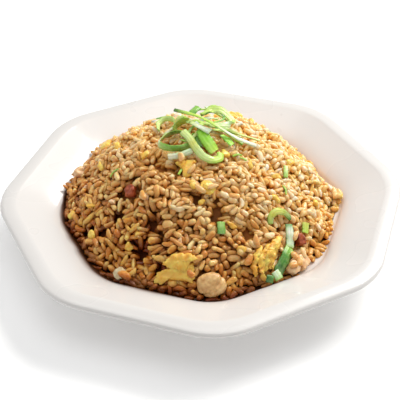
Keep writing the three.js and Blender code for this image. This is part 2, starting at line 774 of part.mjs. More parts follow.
// Seen from a point low inside the mound every place lies in its own direction, so the hull of
// the directions gives the triangles of the surface.
function moundSolid() {
  const eye = new THREE.Vector3(MOUND_X, MOUND_Y, WELL_FLOOR + EYE_HEIGHT);
  const points = [...reliefPoints(), ...edgePoints()];
  const directions = points.map((point) => point.clone().sub(eye).normalize());
  const numberOf = new Map(directions.map((direction, k) => [direction, k]));
  const hull = new ConvexHull().setFromPoints(directions);
  const index = [];
  for (const face of hull.faces) {
    let edge = face.edge;
    do {
      index.push(numberOf.get(edge.head().point));
      edge = edge.next;
    } while (edge !== face.edge);
  }
  const geometry = new THREE.BufferGeometry().setFromPoints(points);
  geometry.setIndex(index);
  return toSolid(geometry);
}

function riceGeometry(dish) {
  const raisedDish = dish.clone().translate(0, 0, 1.5 * CLEARANCE);
  let rice = moundSolid().subtract(toSolid(raisedDish));
  for (const { piece, make } of LAID) {
    rice = rice.subtract(toSolid(make(piece, CLEARANCE)));
  }
  const parts = rice.decompose().sort((a, b) => b.volume() - a.volume());
  return toGeometry(parts[0]);
}

// ---------------------------------------------------------------- finishes and the scene graph

const FINISHES = {
  porcelain: { color: 0xf4f1ec, roughness: 0.16, metalness: 0 },
  rice: { color: 0xc08a52, roughness: 0.42, metalness: 0 },
  egg: { color: 0xe9b43e, roughness: 0.45, metalness: 0 },
  onion: { color: 0x6f9a2c, roughness: 0.4, metalness: 0 },
  scallop: { color: 0xcf9d68, roughness: 0.5, metalness: 0 },
  pork: { color: 0xb9784a, roughness: 0.5, metalness: 0 },
  shred: { color: 0x8fc43a, roughness: 0.35, metalness: 0 },
};

const plate = new THREE.Group();

function addMesh(name, geometry, finish) {
  const mesh = new THREE.Mesh(geometry, new THREE.MeshStandardMaterial(FINISHES[finish]));
  mesh.name = name;
  plate.add(mesh);
}

const dish = dishGeometry();
addMesh('dish', dish, 'porcelain');
addMesh('rice', riceGeometry(dish), 'rice');
for (const { piece, make, finish } of LAID) {
  addMesh(piece.name, make(piece), finish);
}

export default plate;
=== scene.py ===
# %% [markdown]
# # Fried rice on an octagonal dish
#
# A plate of fried rice is one simple thing, a china dish, under thousands of small soft ones.
# This lesson starts with the camera and the dish, makes the egg, meat and leek that lie in the
# rice and the tangle of spring onion on top, and lets the grains fall round them one by one.
# Crumbs, sauce and light come last.
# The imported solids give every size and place. Nothing here moves them: each new piece is made
# where its solid is, and stands for it.

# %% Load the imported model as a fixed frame
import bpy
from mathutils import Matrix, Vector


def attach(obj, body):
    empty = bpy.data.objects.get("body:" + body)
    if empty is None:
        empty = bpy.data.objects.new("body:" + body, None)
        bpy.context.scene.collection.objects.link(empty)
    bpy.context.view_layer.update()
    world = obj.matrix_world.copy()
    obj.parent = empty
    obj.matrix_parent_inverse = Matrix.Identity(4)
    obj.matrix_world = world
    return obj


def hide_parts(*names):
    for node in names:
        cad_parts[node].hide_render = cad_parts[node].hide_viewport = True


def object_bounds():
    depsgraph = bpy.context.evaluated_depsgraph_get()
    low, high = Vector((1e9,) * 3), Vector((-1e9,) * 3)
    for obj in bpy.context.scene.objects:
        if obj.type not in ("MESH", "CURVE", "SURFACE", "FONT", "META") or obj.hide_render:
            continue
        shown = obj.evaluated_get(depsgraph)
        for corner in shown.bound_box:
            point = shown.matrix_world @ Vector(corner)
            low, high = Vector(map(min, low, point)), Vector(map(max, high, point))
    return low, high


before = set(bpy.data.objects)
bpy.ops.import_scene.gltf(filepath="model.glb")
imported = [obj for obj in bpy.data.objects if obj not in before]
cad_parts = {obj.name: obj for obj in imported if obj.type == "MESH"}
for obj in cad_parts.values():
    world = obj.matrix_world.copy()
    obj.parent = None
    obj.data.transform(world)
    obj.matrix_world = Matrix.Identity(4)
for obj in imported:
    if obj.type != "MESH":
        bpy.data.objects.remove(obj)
cad_low, cad_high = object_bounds()
print("the frame holds", len(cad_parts), "solids")

# %% Tools and units
import math

import bmesh
import bpy
import numpy as np
from mathutils import Matrix, Vector, noise
from mathutils.bvhtree import BVHTree

MM = 0.001
DEGREE = math.pi / 180
CAD_SIZE = (cad_high - cad_low) / MM

# Vector noise starts from the clock unless it is seeded, and the plate must come out the same
# each time.
NOISE_SEED = 7
noise.seed_set(NOISE_SEED)
print("the object measures", [round(side, 1) for side in CAD_SIZE], "mm")

# %% [markdown]
# ## The camera
#
# A meal is shown from the chair of the person who eats it, looking down at about 37 degrees
# through a long lens, so the dish keeps its shape and the heap hides its own back. The frame is
# square. A focal length in pixels of that frame is turned into millimetres of a 36 mm sensor.
# The camera first looks at the middle of the rim, then a small pitch, yaw and roll set it as a
# hand would.

# %% Camera
FRAME_PIXELS = 400
FOCAL_PIXELS = 899.5
SENSOR = 36.0
RIM_HEIGHT = 26.0
CAMERA_DISTANCE = 477.9
CAMERA_ELEVATION = 36.794 * DEGREE
CAMERA_AROUND = -4.257 * DEGREE
CAMERA_PITCH = -0.71 * DEGREE
CAMERA_YAW = -0.142 * DEGREE
CAMERA_ROLL = -0.389 * DEGREE
NEAREST_SEEN = 10.0


def make_camera():
    data = bpy.data.cameras.new("camera")
    data.sensor_width = SENSOR
    data.lens = FOCAL_PIXELS / FRAME_PIXELS * SENSOR
    data.clip_start = NEAREST_SEEN * MM
    away = Vector((0, -math.cos(CAMERA_ELEVATION), math.sin(CAMERA_ELEVATION)))
    right = Vector((1, 0, 0))
    ahead = -away
    up = right.cross(ahead)
    ahead = math.cos(CAMERA_PITCH) * ahead + math.sin(CAMERA_PITCH) * up
    up = right.cross(ahead)
    ahead = math.cos(CAMERA_YAW) * ahead + math.sin(CAMERA_YAW) * right
    right = ahead.cross(up)
    tilted = math.cos(CAMERA_ROLL) * right + math.sin(CAMERA_ROLL) * up
    up = math.cos(CAMERA_ROLL) * up - math.sin(CAMERA_ROLL) * right
    around = Matrix.Rotation(CAMERA_AROUND, 3, "Z")
    axes = Matrix((around @ tilted, around @ up, around @ -ahead)).transposed()
    place = around @ away * CAMERA_DISTANCE + Vector((0, 0, RIM_HEIGHT))
    camera = bpy.data.objects.new("camera", data)
    camera.matrix_world = Matrix.Translation(place * MM) @ axes.to_4x4()
    bpy.context.scene.collection.objects.link(camera)
    bpy.context.scene.camera = camera
    return camera


camera = make_camera()
print("camera at", [round(value / MM) for value in camera.matrix_world.translation], "mm")

# %% [markdown]
# ## From arrays to pieces
#
# Every piece of this plate is worked out as arrays of points in millimetres. One helper turns
# such arrays into a mesh in metres, shades it smooth and gives it named values on its points,
# which a material can read: how far across a leaf a point is, or the tone of its grain.
# A second one makes the piece ride on the object's body, gives it a finish, and hides the solids
# that it stands for, if there are any.

# %% Mesh and piece helpers
def make_mesh(name, points, faces, values=None):
    mesh = bpy.data.meshes.new(name)
    faces = np.asarray(faces, np.int32)
    mesh.vertices.add(len(points))
    mesh.vertices.foreach_set("co", (np.asarray(points, np.float64) * MM).ravel())
    mesh.loops.add(faces.size)
    mesh.loops.foreach_set("vertex_index", faces.ravel())
    mesh.polygons.add(len(faces))
    mesh.polygons.foreach_set("loop_start", np.arange(0, faces.size, faces.shape[1]))
    mesh.polygons.foreach_set("use_smooth", np.ones(len(faces), bool))
    mesh.update()
    mesh.validate()
    for key, numbers in (values or {}).items():
        layer = mesh.attributes.new(key, "FLOAT", "POINT")
        layer.data.foreach_set("value", np.asarray(numbers, np.float32))
    return mesh


def add_piece(name, mesh, finish, slot, *nodes):
    piece = bpy.data.objects.new(name, mesh)
    bpy.context.scene.collection.objects.link(piece)
    mesh.materials.clear()
    mesh.materials.append(finish)
    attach(piece, "root")
    if nodes:
        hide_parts(*nodes)
    return piece


print("mesh and piece helpers ready")

# %% [markdown]
# ## Forms made of rings
#
# The dish, a flap of egg, a leaf and a grain have one thing in common: each is a stack of rings of
# points, all with the same number of points, closed by one point at either end. So one helper
# joins them all with triangles: a fan round the first point, a band from each ring to the next,
# and a fan round the last. Another one joins many such forms to one mesh.

# %% Rings and joined parts
def band(start, other, around):
    """Triangles between the rings of points that begin at start and at other."""
    turn = np.arange(around)
    following = (turn + 1) % around
    a, b = start + turn, start + following
    c, d = other + following, other + turn
    return np.vstack([np.stack([a, d, c], 1), np.stack([a, c, b], 1)])


def fan(tip, start, around):
    """Triangles from one point to the ring of points that begins at start."""
    turn = np.arange(around)
    return np.stack([np.full(around, tip), start + turn, start + (turn + 1) % around], 1)


def turned(faces):
    """The same triangles, facing the other way."""
    return faces[:, [0, 2, 1]]


def closed_form(first_tip, start, rings, around, last_tip):
    """Triangles of a stack of rings that run anticlockwise, seen from outside at the first tip."""
    bands = [band(start + ring * around, start + (ring + 1) * around, around) for ring in range(rings - 1)]
    last = fan(last_tip, start + (rings - 1) * around, around)
    return np.vstack([fan(first_tip, start, around), *bands, turned(last)])


def join_parts(parts):
    """Joins parts of (points, faces, values, ...) into one such set of arrays."""
    points, faces, *values = zip(*parts)
    starts = np.cumsum([0] + [len(part) for part in points[:-1]])
    faces = [part + start for part, start in zip(faces, starts)]
    return [np.concatenate(column) for column in (points, faces, *values)]


print("a band of 8 points has", len(band(0, 8, 8)), "triangles")

# %% [markdown]
# ## Node helpers
#
# Materials are graphs of nodes. These few helpers keep each material short: one sets the inputs
# of a node, by a link where it is given a socket and else by its own number or colour, and one
# makes a group whose sockets have names and starting values. Colours are written as the 0 to 255
# numbers that a paint card shows, and turned into the linear light that shaders work in.

# %% Shader helpers
def paint(red, green, blue):
    def linear(value):
        share = value / 255
        return share / 12.92 if share <= 0.04045 else ((share + 0.055) / 1.055) ** 2.4
    return (linear(red), linear(green), linear(blue), 1)


def set_inputs(tree, node, inputs):
    for key, value in inputs.items():
        if isinstance(value, bpy.types.NodeSocket):
            tree.links.new(value, node.inputs[key])
        else:
            node.inputs[key].default_value = value


def add_node(tree, kind, inputs=None, **settings):
    node = tree.nodes.new(kind)
    for key, value in settings.items():
        setattr(node, key, value)
    set_inputs(tree, node, inputs or {})
    return node


def add_math(tree, operation, *values, clamp=False):
    node = add_node(tree, "ShaderNodeMath", dict(enumerate(values)), operation=operation, use_clamp=clamp)
    return node.outputs[0]


def add_ramp(tree, factor, stops):
    node = add_node(tree, "ShaderNodeValToRGB", {"Fac": factor})
    ramp = node.color_ramp
    while len(ramp.elements) < len(stops):
        ramp.elements.new(0.5)
    for element, (position, colour) in zip(ramp.elements, stops):
        element.position = position
        element.color = colour
    return node.outputs["Color"]


def mix_colours(tree, factor, first, second, blend="MIX"):
    node = add_node(tree, "ShaderNodeMix", data_type="RGBA", blend_type=blend)
    set_inputs(tree, node, {0: factor, 6: first, 7: second})
    return node.outputs[2]


def rescale(tree, value, low, high, new_low=0.0, new_high=1.0):
    node = add_node(tree, "ShaderNodeMapRange", {
        "Value": value, "From Min": low, "From Max": high, "To Min": new_low, "To Max": new_high,
    })
    return node.outputs["Result"]


def read_value(tree, name):
    return add_node(tree, "ShaderNodeAttribute", attribute_name=name).outputs["Fac"]


def add_bump(tree, height, strength, depth_mm):
    node = add_node(tree, "ShaderNodeBump", {
        "Strength": strength, "Distance": depth_mm * MM, "Height": height,
    })
    return node.outputs["Normal"]


def new_finish(name):
    finish = bpy.data.materials.new(name)
    finish.use_nodes = True
    tree = finish.node_tree
    return finish, tree, tree.nodes["Principled BSDF"]


def new_group(name, inputs, outputs):
    group = bpy.data.node_groups.new(name, "ShaderNodeTree")
    for key, value in inputs.items():
        socket = group.interface.new_socket(key, in_out="INPUT", socket_type="NodeSocketFloat")
        socket.default_value = value
    for key, kind in outputs.items():
        group.interface.new_socket(key, in_out="OUTPUT", socket_type=kind)
    start = group.nodes.new("NodeGroupInput")
    end = group.nodes.new("NodeGroupOutput")
    return group, start, end


def use_group(tree, group, inputs):
    node = add_node(tree, "ShaderNodeGroup", node_tree=group)
    set_inputs(tree, node, inputs)
    return node.outputs


print("shader helpers ready, mid grey is", round(paint(128, 128, 128)[0], 3))

# %% [markdown]
# ## Shared effects
#
# Cooked food has three effects in common. Its colour is mottled, because frying is uneven: a
# noise, sharpened to patches. It shines where a film of oil lies, in spots: the second group
# gives a roughness that drops in those spots. And the whole heap was tossed with soy, which ran
# down and stained the near left side most. That side also faces away from the window light, so
# the third group's mask is soy and painted shade together. It measures where on the plate a point
# lies, and blurs that with broad noise. Each group is built once, and every finish sets its own
# numbers. They give masks and values only, so the shaders stay in the materials.

# %% Group: mottled patches
NOISE_MIDDLE = 0.5


def build_mottle_group():
    group, start, end = new_group(
        "mottle",
        {"Size mm": 3.0, "Sharpness": 0.3, "Detail": 3.0},
        {"Mask": "NodeSocketFloat", "Height": "NodeSocketFloat"},
    )
    place = add_node(group, "ShaderNodeTexCoord").outputs["Object"]
    scale = add_math(group, "DIVIDE", 1 / MM, start.outputs["Size mm"])
    cloud = add_node(group, "ShaderNodeTexNoise", {
        "Vector": place, "Scale": scale, "Detail": start.outputs["Detail"],
    }).outputs["Fac"]
    low = add_math(group, "SUBTRACT", NOISE_MIDDLE, start.outputs["Sharpness"])
    high = add_math(group, "ADD", NOISE_MIDDLE, start.outputs["Sharpness"])
    set_inputs(group, end, {"Mask": rescale(group, cloud, low, high), "Height": cloud})
    return group


mottle = build_mottle_group()
print("group", mottle.name)

# %% Group: spots of oil
def build_oil_group():
    group, start, end = new_group(
        "oil film",
        {"Spot mm": 4.0, "Dry": 0.5, "Oily": 0.2},
        {"Roughness": "NodeSocketFloat"},
    )
    spots = use_group(group, mottle, {"Size mm": start.outputs["Spot mm"], "Sharpness": 0.12, "Detail": 2.0})
    mixed = rescale(group, spots["Mask"], 0.0, 1.0, start.outputs["Dry"], start.outputs["Oily"])
    set_inputs(group, end, {"Roughness": mixed})
    return group


oil_film = build_oil_group()
print("group", oil_film.name)

# %% Group: where the soy ran and the shade is painted
SOY_AND_SHADE_HEADING = (-0.62, -0.60, -0.50)
SOY_AND_SHADE_FROM = -48.0
SOY_AND_SHADE_TO = 40.0


def build_soy_and_shade_group():
    group, start, end = new_group(
        "soy and painted shade",
        {"Patch mm": 26.0, "Unevenness": 0.35},
        {"Mask": "NodeSocketFloat"},
    )
    # The mask is soy and painted shade together. It rises towards the near, left and low side, which faces
    # away from the window light.
    place = add_node(group, "ShaderNodeTexCoord").outputs["Object"]
    heading = add_node(group, "ShaderNodeVectorMath", {0: place, 1: SOY_AND_SHADE_HEADING}, operation="DOT_PRODUCT")
    slope = rescale(group, heading.outputs["Value"], SOY_AND_SHADE_FROM * MM, SOY_AND_SHADE_TO * MM)
    patches = use_group(group, mottle, {
        "Size mm": start.outputs["Patch mm"], "Sharpness": 0.35, "Detail": 2.0,
    })
    centred = add_math(group, "SUBTRACT", patches["Mask"], NOISE_MIDDLE)
    uneven = add_math(group, "MULTIPLY_ADD", centred, start.outputs["Unevenness"], slope, clamp=True)
    set_inputs(group, end, {"Mask": uneven})
    return group


soy_and_shade = build_soy_and_shade_group()
print("group", soy_and_shade.name)

# %% [markdown]
# ## The dish
#
# The dish is pressed porcelain: a flat well, eight facets that rise from it, and a flat lip as
# wide as a finger, all under a thick clear glaze that rounds every edge. A lathe would give a
# round plate, so the profile is swept round an octagon with rounded corners instead. The profile
# is the solid's own. Its corners are cut off, and the new corners again, three times over, which
# is how glaze settles: soft, but never past the form under it.

# %% Octagon
SIDES = 8
HALF_SIDE = math.pi / SIDES
FIRST_CORNER = -math.pi / 2
ROUNDING = 0.355
FOOT_ROUNDING = 0.6


def octagon_reach(azimuth, rounding=ROUNDING):
    """Polar radius of an octagon of corner radius 1 with rounded corners."""
    around = (np.asarray(azimuth, float) - FIRST_CORNER) / (2 * HALF_SIDE)
    off = np.abs(around - np.round(around)) * 2 * HALF_SIDE
    middle = 1 - rounding / math.cos(HALF_SIDE)
    arc_end = math.atan2(rounding * math.sin(HALF_SIDE), middle + rounding * math.cos(HALF_SIDE))
    inside = np.maximum(rounding ** 2 - (middle * np.sin(off)) ** 2, 0)
    arc = middle * np.cos(off) + np.sqrt(inside)
    flat = math.cos(HALF_SIDE) / np.cos(HALF_SIDE - off)
    return np.where(off < arc_end, arc, flat)


print("reach at a corner and at a side:", octagon_reach([0, HALF_SIDE]).round(3))

# %% Dish profile
DISH_CORNER = 109.8
DISH_HEIGHT = RIM_HEIGHT
LIP_WIDTH = 8.5
LIP_THICKNESS = 3.8
WELL_CORNER = 76.0
WELL_FLOOR = 12.0
FLOOR_THICKNESS = 6.0
FOOT_CORNER = 66.0
FOOT_WIDTH = 4.5
WELL_TOP_CORNER = WELL_CORNER + 3
WELL_TOP = WELL_FLOOR + 6
LIP_INNER = DISH_CORNER - LIP_WIDTH

DISH_TOP = [
    (WELL_CORNER, WELL_FLOOR),
    (WELL_TOP_CORNER, WELL_TOP),
    (LIP_INNER - 2, DISH_HEIGHT - 0.9),
    (LIP_INNER, DISH_HEIGHT - 0.1),
    (LIP_INNER + 3, DISH_HEIGHT),
    (DISH_CORNER - 1.6, DISH_HEIGHT - 0.5),
    (DISH_CORNER - 0.3, DISH_HEIGHT - 1.5),
    (DISH_CORNER, DISH_HEIGHT - 2.4),
]
DISH_UNDER = [
    (DISH_CORNER - 1.2, DISH_HEIGHT - LIP_THICKNESS),
    (LIP_INNER - 3, DISH_HEIGHT - LIP_THICKNESS - 2),
    (WELL_TOP_CORNER + 3, WELL_FLOOR),
]
DISH_FOOT = [
    (FOOT_CORNER + 3.5, FLOOR_THICKNESS - 0.4),
    (FOOT_CORNER + 0.6, FLOOR_THICKNESS - 3),
    (FOOT_CORNER, 0),
    (FOOT_CORNER - FOOT_WIDTH, 0),
    (FOOT_CORNER - FOOT_WIDTH - 1.5, FLOOR_THICKNESS),
]
GLAZE_PASSES = 3


def dish_profile():
    stations = [(0.0, WELL_FLOOR, ROUNDING)]
    stations += [(corner, height, ROUNDING) for corner, height in DISH_TOP + DISH_UNDER]
    stations += [(corner, height, FOOT_ROUNDING) for corner, height in DISH_FOOT]
    stations += [(0.0, FLOOR_THICKNESS, FOOT_ROUNDING)]
    line = np.array(stations)
    for _ in range(GLAZE_PASSES):
        near = 0.75 * line[:-1] + 0.25 * line[1:]
        far = 0.25 * line[:-1] + 0.75 * line[1:]
        cut = np.empty((2 * len(near), 3))
        cut[0::2] = near
        cut[1::2] = far
        line = np.vstack([line[:1], cut[1:-1], line[-1:]])
    return line


profile = dish_profile()
print("dish profile has", len(profile), "stations")

# %% Sweep the profile round the octagon
AROUND = 192


def dish_mesh():
    azimuths = np.arange(AROUND) * 2 * math.pi / AROUND + FIRST_CORNER
    rings = profile[1:-1]
    points = [(0, 0, profile[0][1])]
    for corner, height, rounding in rings:
        reach = corner * octagon_reach(azimuths, rounding)
        x, y = reach * np.cos(azimuths), reach * np.sin(azimuths)
        points.extend(np.stack([x, y, np.full(AROUND, height)], 1))
    points.append((0, 0, profile[-1][1]))
    return make_mesh("dish_glazed", points, closed_form(0, 1, len(rings), AROUND, len(points) - 1))


dish_form = dish_mesh()
print("dish:", len(dish_form.polygons), "triangles")

# %% [markdown]
# White porcelain is a warm white body under a clear, hard glaze. The body is almost even, with a
# breath of grey where the glaze is thick. The coat of the shader is the glaze, so the base stays
# rather soft, and the highlights are sharp and clear.

# %% Porcelain
def porcelain_finish():
    finish, tree, shader = new_finish("porcelain")
    body = use_group(tree, mottle, {"Size mm": 60.0, "Sharpness": 0.3, "Detail": 1.0})
    tint = mix_colours(tree, body["Mask"], paint(219, 216, 213), paint(223, 220, 217))
    worn = use_group(tree, oil_film, {"Spot mm": 45.0, "Dry": 0.34, "Oily": 0.26})
    ripple = use_group(tree, mottle, {"Size mm": 22.0, "Sharpness": 0.3, "Detail": 0.0})
    set_inputs(tree, shader, {
        "Base Color": tint,
        "Roughness": worn["Roughness"],
        "Normal": add_bump(tree, ripple["Height"], 0.03, 1.0),
        "Coat Weight": 0.5,
        "Coat Roughness": 0.09,
    })
    return finish


porcelain = porcelain_finish()
dish = add_piece("dish_glazed", dish_form, porcelain, "porcelain", "dish")

# %% [markdown]
# ## The form of the heap
#
# Rice that is turned out of a bowl keeps a domed shape, a little fuller than a paraboloid, with
# broad lumps in it and a spoonful that slid out on one side. All of that is one height function
# of the place on the dish, which the solids were made from too. Everything in the heap is placed
# by it: a point on the heap, lifted a little along the slope's own normal.

# %% Height of the heap
MOUND_X = -2.1
MOUND_Y = 3.4
MOUND_RADIUS = 75.3
MOUND_RISE = 44.0
MOUND_FULLNESS = 2.2
PLAN_WAVES = [(2, -0.019, 0), (3, 0.018, 30 * DEGREE), (4, 0.011, -33 * DEGREE)]
SPILL_REACH = 5.0
SPILL_SPREAD = 9 * DEGREE
LUMP_WAVES = [
    (0.9, 37, 20 * DEGREE, 0.6),
    (0.8, 29, 95 * DEGREE, 2.1),
    (0.6, 19, 150 * DEGREE, 4.0),
    (0.5, 14, 60 * DEGREE, 1.2),
]
SLOPE_STEP = 2.0


def mound_reach(azimuth):
    share = 1 + sum(part * np.cos(waves * (azimuth - shift)) for waves, part, shift in PLAN_WAVES)
    off_spill = np.arctan2(np.sin(azimuth), np.cos(azimuth))
    return MOUND_RADIUS * share + SPILL_REACH * np.exp(-((off_spill / SPILL_SPREAD) ** 2))


def mound_height(x, y):
    across, along = x - MOUND_X, y - MOUND_Y
    share = np.hypot(across, along) / mound_reach(np.arctan2(along, across))
    height = WELL_FLOOR + MOUND_RISE * (1 - share ** MOUND_FULLNESS)
    for size, length, heading, shift in LUMP_WAVES:
        way = x * math.cos(heading) + y * math.sin(heading)
        height = height + size * np.sin(2 * math.pi * way / length + shift)
    return height


def mound_normal(x, y):
    step = SLOPE_STEP
    slope_x = (mound_height(x + step, y) - mound_height(x - step, y)) / (2 * step)
    slope_y = (mound_height(x, y + step) - mound_height(x, y - step)) / (2 * step)
    normal = np.stack([-slope_x, -slope_y, np.ones_like(slope_x)], -1)
    return normal / np.linalg.norm(normal, axis=-1, keepdims=True)


def on_mound(x, y, lift):
    x, y = np.asarray(x, float), np.asarray(y, float)
    place = np.stack([x, y, mound_height(x, y)], -1)
    return place + np.asarray(lift, float)[..., None] * mound_normal(x, y)


print("the heap rises to", round(float(mound_height(MOUND_X, MOUND_Y)), 1), "mm")

# %% Height of the dish under the heap
def dish_surface(x, y):
    corner = np.hypot(x, y) / octagon_reach(np.arctan2(y, x))
    corners, heights = np.array(DISH_TOP).T
    return np.interp(corner, corners, heights)


FOOT_SEARCH = (0.5 * MOUND_RADIUS, 1.3 * MOUND_RADIUS)
HALVINGS = 20


def foot_distance(azimuth):
    """How far from its middle the heap comes down to the dish."""
    azimuth = np.asarray(azimuth, float)
    inside, outside = (np.full(azimuth.shape, reach) for reach in FOOT_SEARCH)
    for _ in range(HALVINGS):
        middle = (inside + outside) / 2
        x = MOUND_X + middle * np.cos(azimuth)
        y = MOUND_Y + middle * np.sin(azimuth)
        above = mound_height(x, y) > dish_surface(x, y)
        inside = np.where(above, middle, inside)
        outside = np.where(above, outside, middle)
    return inside


foot_left = foot_distance(math.pi)
print("the heap's foot is", round(float(foot_left), 1), "mm from its middle on the left")

# %% [markdown]
# ## Strips and seats
#
# Shreds of spring onion, leaves of leek and torn egg are all strips: a flat band that follows a
# route over the heap. A curve object with a bevel would make a round cord, and a plane would have
# no edge to catch the light, so the band is built as rings of points: a rounded, slightly cupped
# section at every step of a smooth curve. Each point keeps how far along and across it is, and
# which face it is on, because a leaf is glossy green outside and pale and damp inside.

# %% Smooth routes
CURVE_DETAIL = 24


def smooth_route(stops, count, closed=False):
    """Evenly spaced points on a centripetal curve through the stops."""
    stops = np.asarray(stops, float)
    if closed:
        ends = np.vstack([stops[-1:], stops, stops[:2]])
    else:
        ends = np.vstack([2 * stops[0] - stops[1], stops, 2 * stops[-1] - stops[-2]])
    share = np.linspace(0, 1, CURVE_DETAIL, endpoint=False)[:, None]
    dense = []
    for p0, p1, p2, p3 in zip(ends, ends[1:], ends[2:], ends[3:]):
        d0, d1, d2 = (math.sqrt(np.linalg.norm(b - a)) for a, b in ((p0, p1), (p1, p2), (p2, p3)))
        leave = ((p1 - p0) / d0 - (p2 - p0) / (d0 + d1) + (p2 - p1) / d1) * d1
        arrive = ((p2 - p1) / d1 - (p3 - p1) / (d1 + d2) + (p3 - p2) / d2) * d1
        square, cube = share ** 2, share ** 3
        dense.append(p1 + leave * share + (3 * (p2 - p1) - 2 * leave - arrive) * square
                     + (2 * (p1 - p2) + leave + arrive) * cube)
    dense = np.vstack(dense + [ends[-2:-1]])
    run = np.concatenate([[0], np.cumsum(np.linalg.norm(np.diff(dense, axis=0), axis=1))])
    wanted = np.linspace(0, run[-1], count, endpoint=not closed)
    return np.stack([np.interp(wanted, run, dense[:, axis]) for axis in range(3)], 1)


print("routes ready")

# %% Axes of something that lies on a slope
def lay_axes(normal, heading, pitch=0.0, roll=0.0):
    """Length, width and height directions of a thing on a slope, one in each row."""
    ahead = np.array([math.cos(heading), math.sin(heading), 0.0])
    ahead -= normal * (ahead @ normal)
    ahead /= np.linalg.norm(ahead)
    side = np.cross(normal, ahead)
    long_way = math.cos(pitch) * ahead + math.sin(pitch) * normal
    up = math.cos(pitch) * normal - math.sin(pitch) * ahead
    wide_way = math.cos(roll) * side + math.sin(roll) * up
    return np.array([long_way, wide_way, np.cross(long_way, wide_way)])


def seat_axes(x, y, *turns):
    """The same three directions, for a thing that lies on the heap at x, y."""
    return lay_axes(mound_normal(np.array(x), np.array(y)), *turns)


print("up from the heap's left side:", seat_axes(-50, 0, 0)[2].round(2))

# %% Strip builder
EDGE_ROUNDING = 6
EDGE_THINNEST = 0.02
TEAR_RATE = 0.31
TWIST_WAVES = 1.7
TWIST_SHIFT = 0.13


def wobble(number, seed, scale=1.0):
    """A smooth random value for a position along something."""
    return noise.noise(Vector((number * scale, seed * 7.31, seed * 1.7)))


def strip(route, width, thickness, across=None, lean=0.0, taper=0.0, cup=0.0, ragged=0.0,
          twist=0.0, girth=(1, 1), steps=40, wide=6, seed=1):
    """A band along a route of (x, y, lift): its points, faces, and where on it each point is."""
    line = smooth_route([on_mound(x, y, lift) for x, y, lift in route], steps + 1)
    ahead = np.gradient(line, axis=0)
    ahead /= np.linalg.norm(ahead, axis=1, keepdims=True)
    if across is None:
        side = np.cross(mound_normal(line[:, 0], line[:, 1]), ahead)
    else:
        side = np.asarray(across, float) - ahead * (ahead @ np.asarray(across, float))[:, None]
    side /= np.linalg.norm(side, axis=1, keepdims=True)
    up = np.cross(ahead, side)
    reach = np.linspace(-1, 1, wide + 1)
    edge = np.sqrt(np.maximum(1 - np.abs(reach) ** EDGE_ROUNDING, EDGE_THINNEST))
    points, along, over, inner = [], [], [], []
    for number in range(steps + 1):
        share = number / steps
        full = (1 - taper * abs(2 * share - 1) ** 3) * np.interp(share, np.linspace(0, 1, len(girth)), girth)
        angle = lean * DEGREE + twist * math.sin(math.pi * (share * TWIST_WAVES + TWIST_SHIFT * seed))
        s = math.cos(angle) * side[number] + math.sin(angle) * up[number]
        u = math.cos(angle) * up[number] - math.sin(angle) * side[number]
        for face, order in ((1, range(wide + 1)), (-1, range(wide, -1, -1))):
            for column in order:
                torn = 1 + ragged * wobble(number, seed + (5 if reach[column] > 0 else 0), TEAR_RATE)
                out = reach[column] * width / 2 * full * torn
                rise = face * thickness / 2 * edge[column] + cup * (0.5 - reach[column] ** 2)
                points.append(line[number] + out * s + rise * u)
                along.append(share)
                over.append(reach[column])
                inner.append(0.0 if face > 0 else 1.0)
    ring = 2 * (wide + 1)
    for start in (0, steps * ring):
        points.append(np.mean(points[start:start + ring], 0))
        along.append(along[start])
        over.append(0.0)
        inner.append(0.5)
    faces = turned(closed_form(len(points) - 2, 0, steps + 1, ring, len(points) - 1))
    return np.array(points), faces, {"along": along, "across": over, "inner": inner}


print("strip builder ready")

# %% Creases and soft copies of solids
WELD = 0.02


def creases(point, heading, stretch, size, seed):
    """Ridged noise, drawn out along a heading: 1 on a ridge, less between."""
    way = Vector((math.cos(heading), math.sin(heading), 0))
    side = Vector((-math.sin(heading), math.cos(heading), 0))
    point = Vector(point)
    place = Vector((point.dot(way) / stretch, point.dot(side), point.z)) / size
    return 1 - 2 * abs(noise.noise(place + Vector((seed * 3.1, seed * 5.7, 0))))


def soft_copy(name, node, levels, keep_edges, crumple):
    """A subdivided copy of a solid, each point moved along its normal by crumple(point)."""
    shape = bmesh.new()
    shape.from_mesh(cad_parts[node].data)
    bmesh.ops.remove_doubles(shape, verts=shape.verts, dist=WELD * MM)
    base = bpy.data.meshes.new(name + "_base")
    shape.to_mesh(base)
    shape.free()
    sharp = base.attributes.new("crease_edge", "FLOAT", "EDGE")
    sharp.data.foreach_set("value", np.full(len(base.edges), keep_edges, np.float32))
    holder = bpy.data.objects.new(name + "_base", base)
    bpy.context.scene.collection.objects.link(holder)
    rounding = holder.modifiers.new("rounding", "SUBSURF")
    rounding.levels = levels
    graph = bpy.context.evaluated_depsgraph_get()
    soft = bpy.data.meshes.new_from_object(holder.evaluated_get(graph))
    bpy.data.objects.remove(holder)
    moved = []
    for vertex in soft.vertices:
        point = vertex.co / MM
        moved.append((point + vertex.normal * crumple(point)) * MM)
    for vertex, place in zip(soft.vertices, moved):
        vertex.co = place
    for face in soft.polygons:
        face.use_smooth = True
    soft.name = name
    return soft


print("solids are welded at", WELD, "mm before they are rounded")
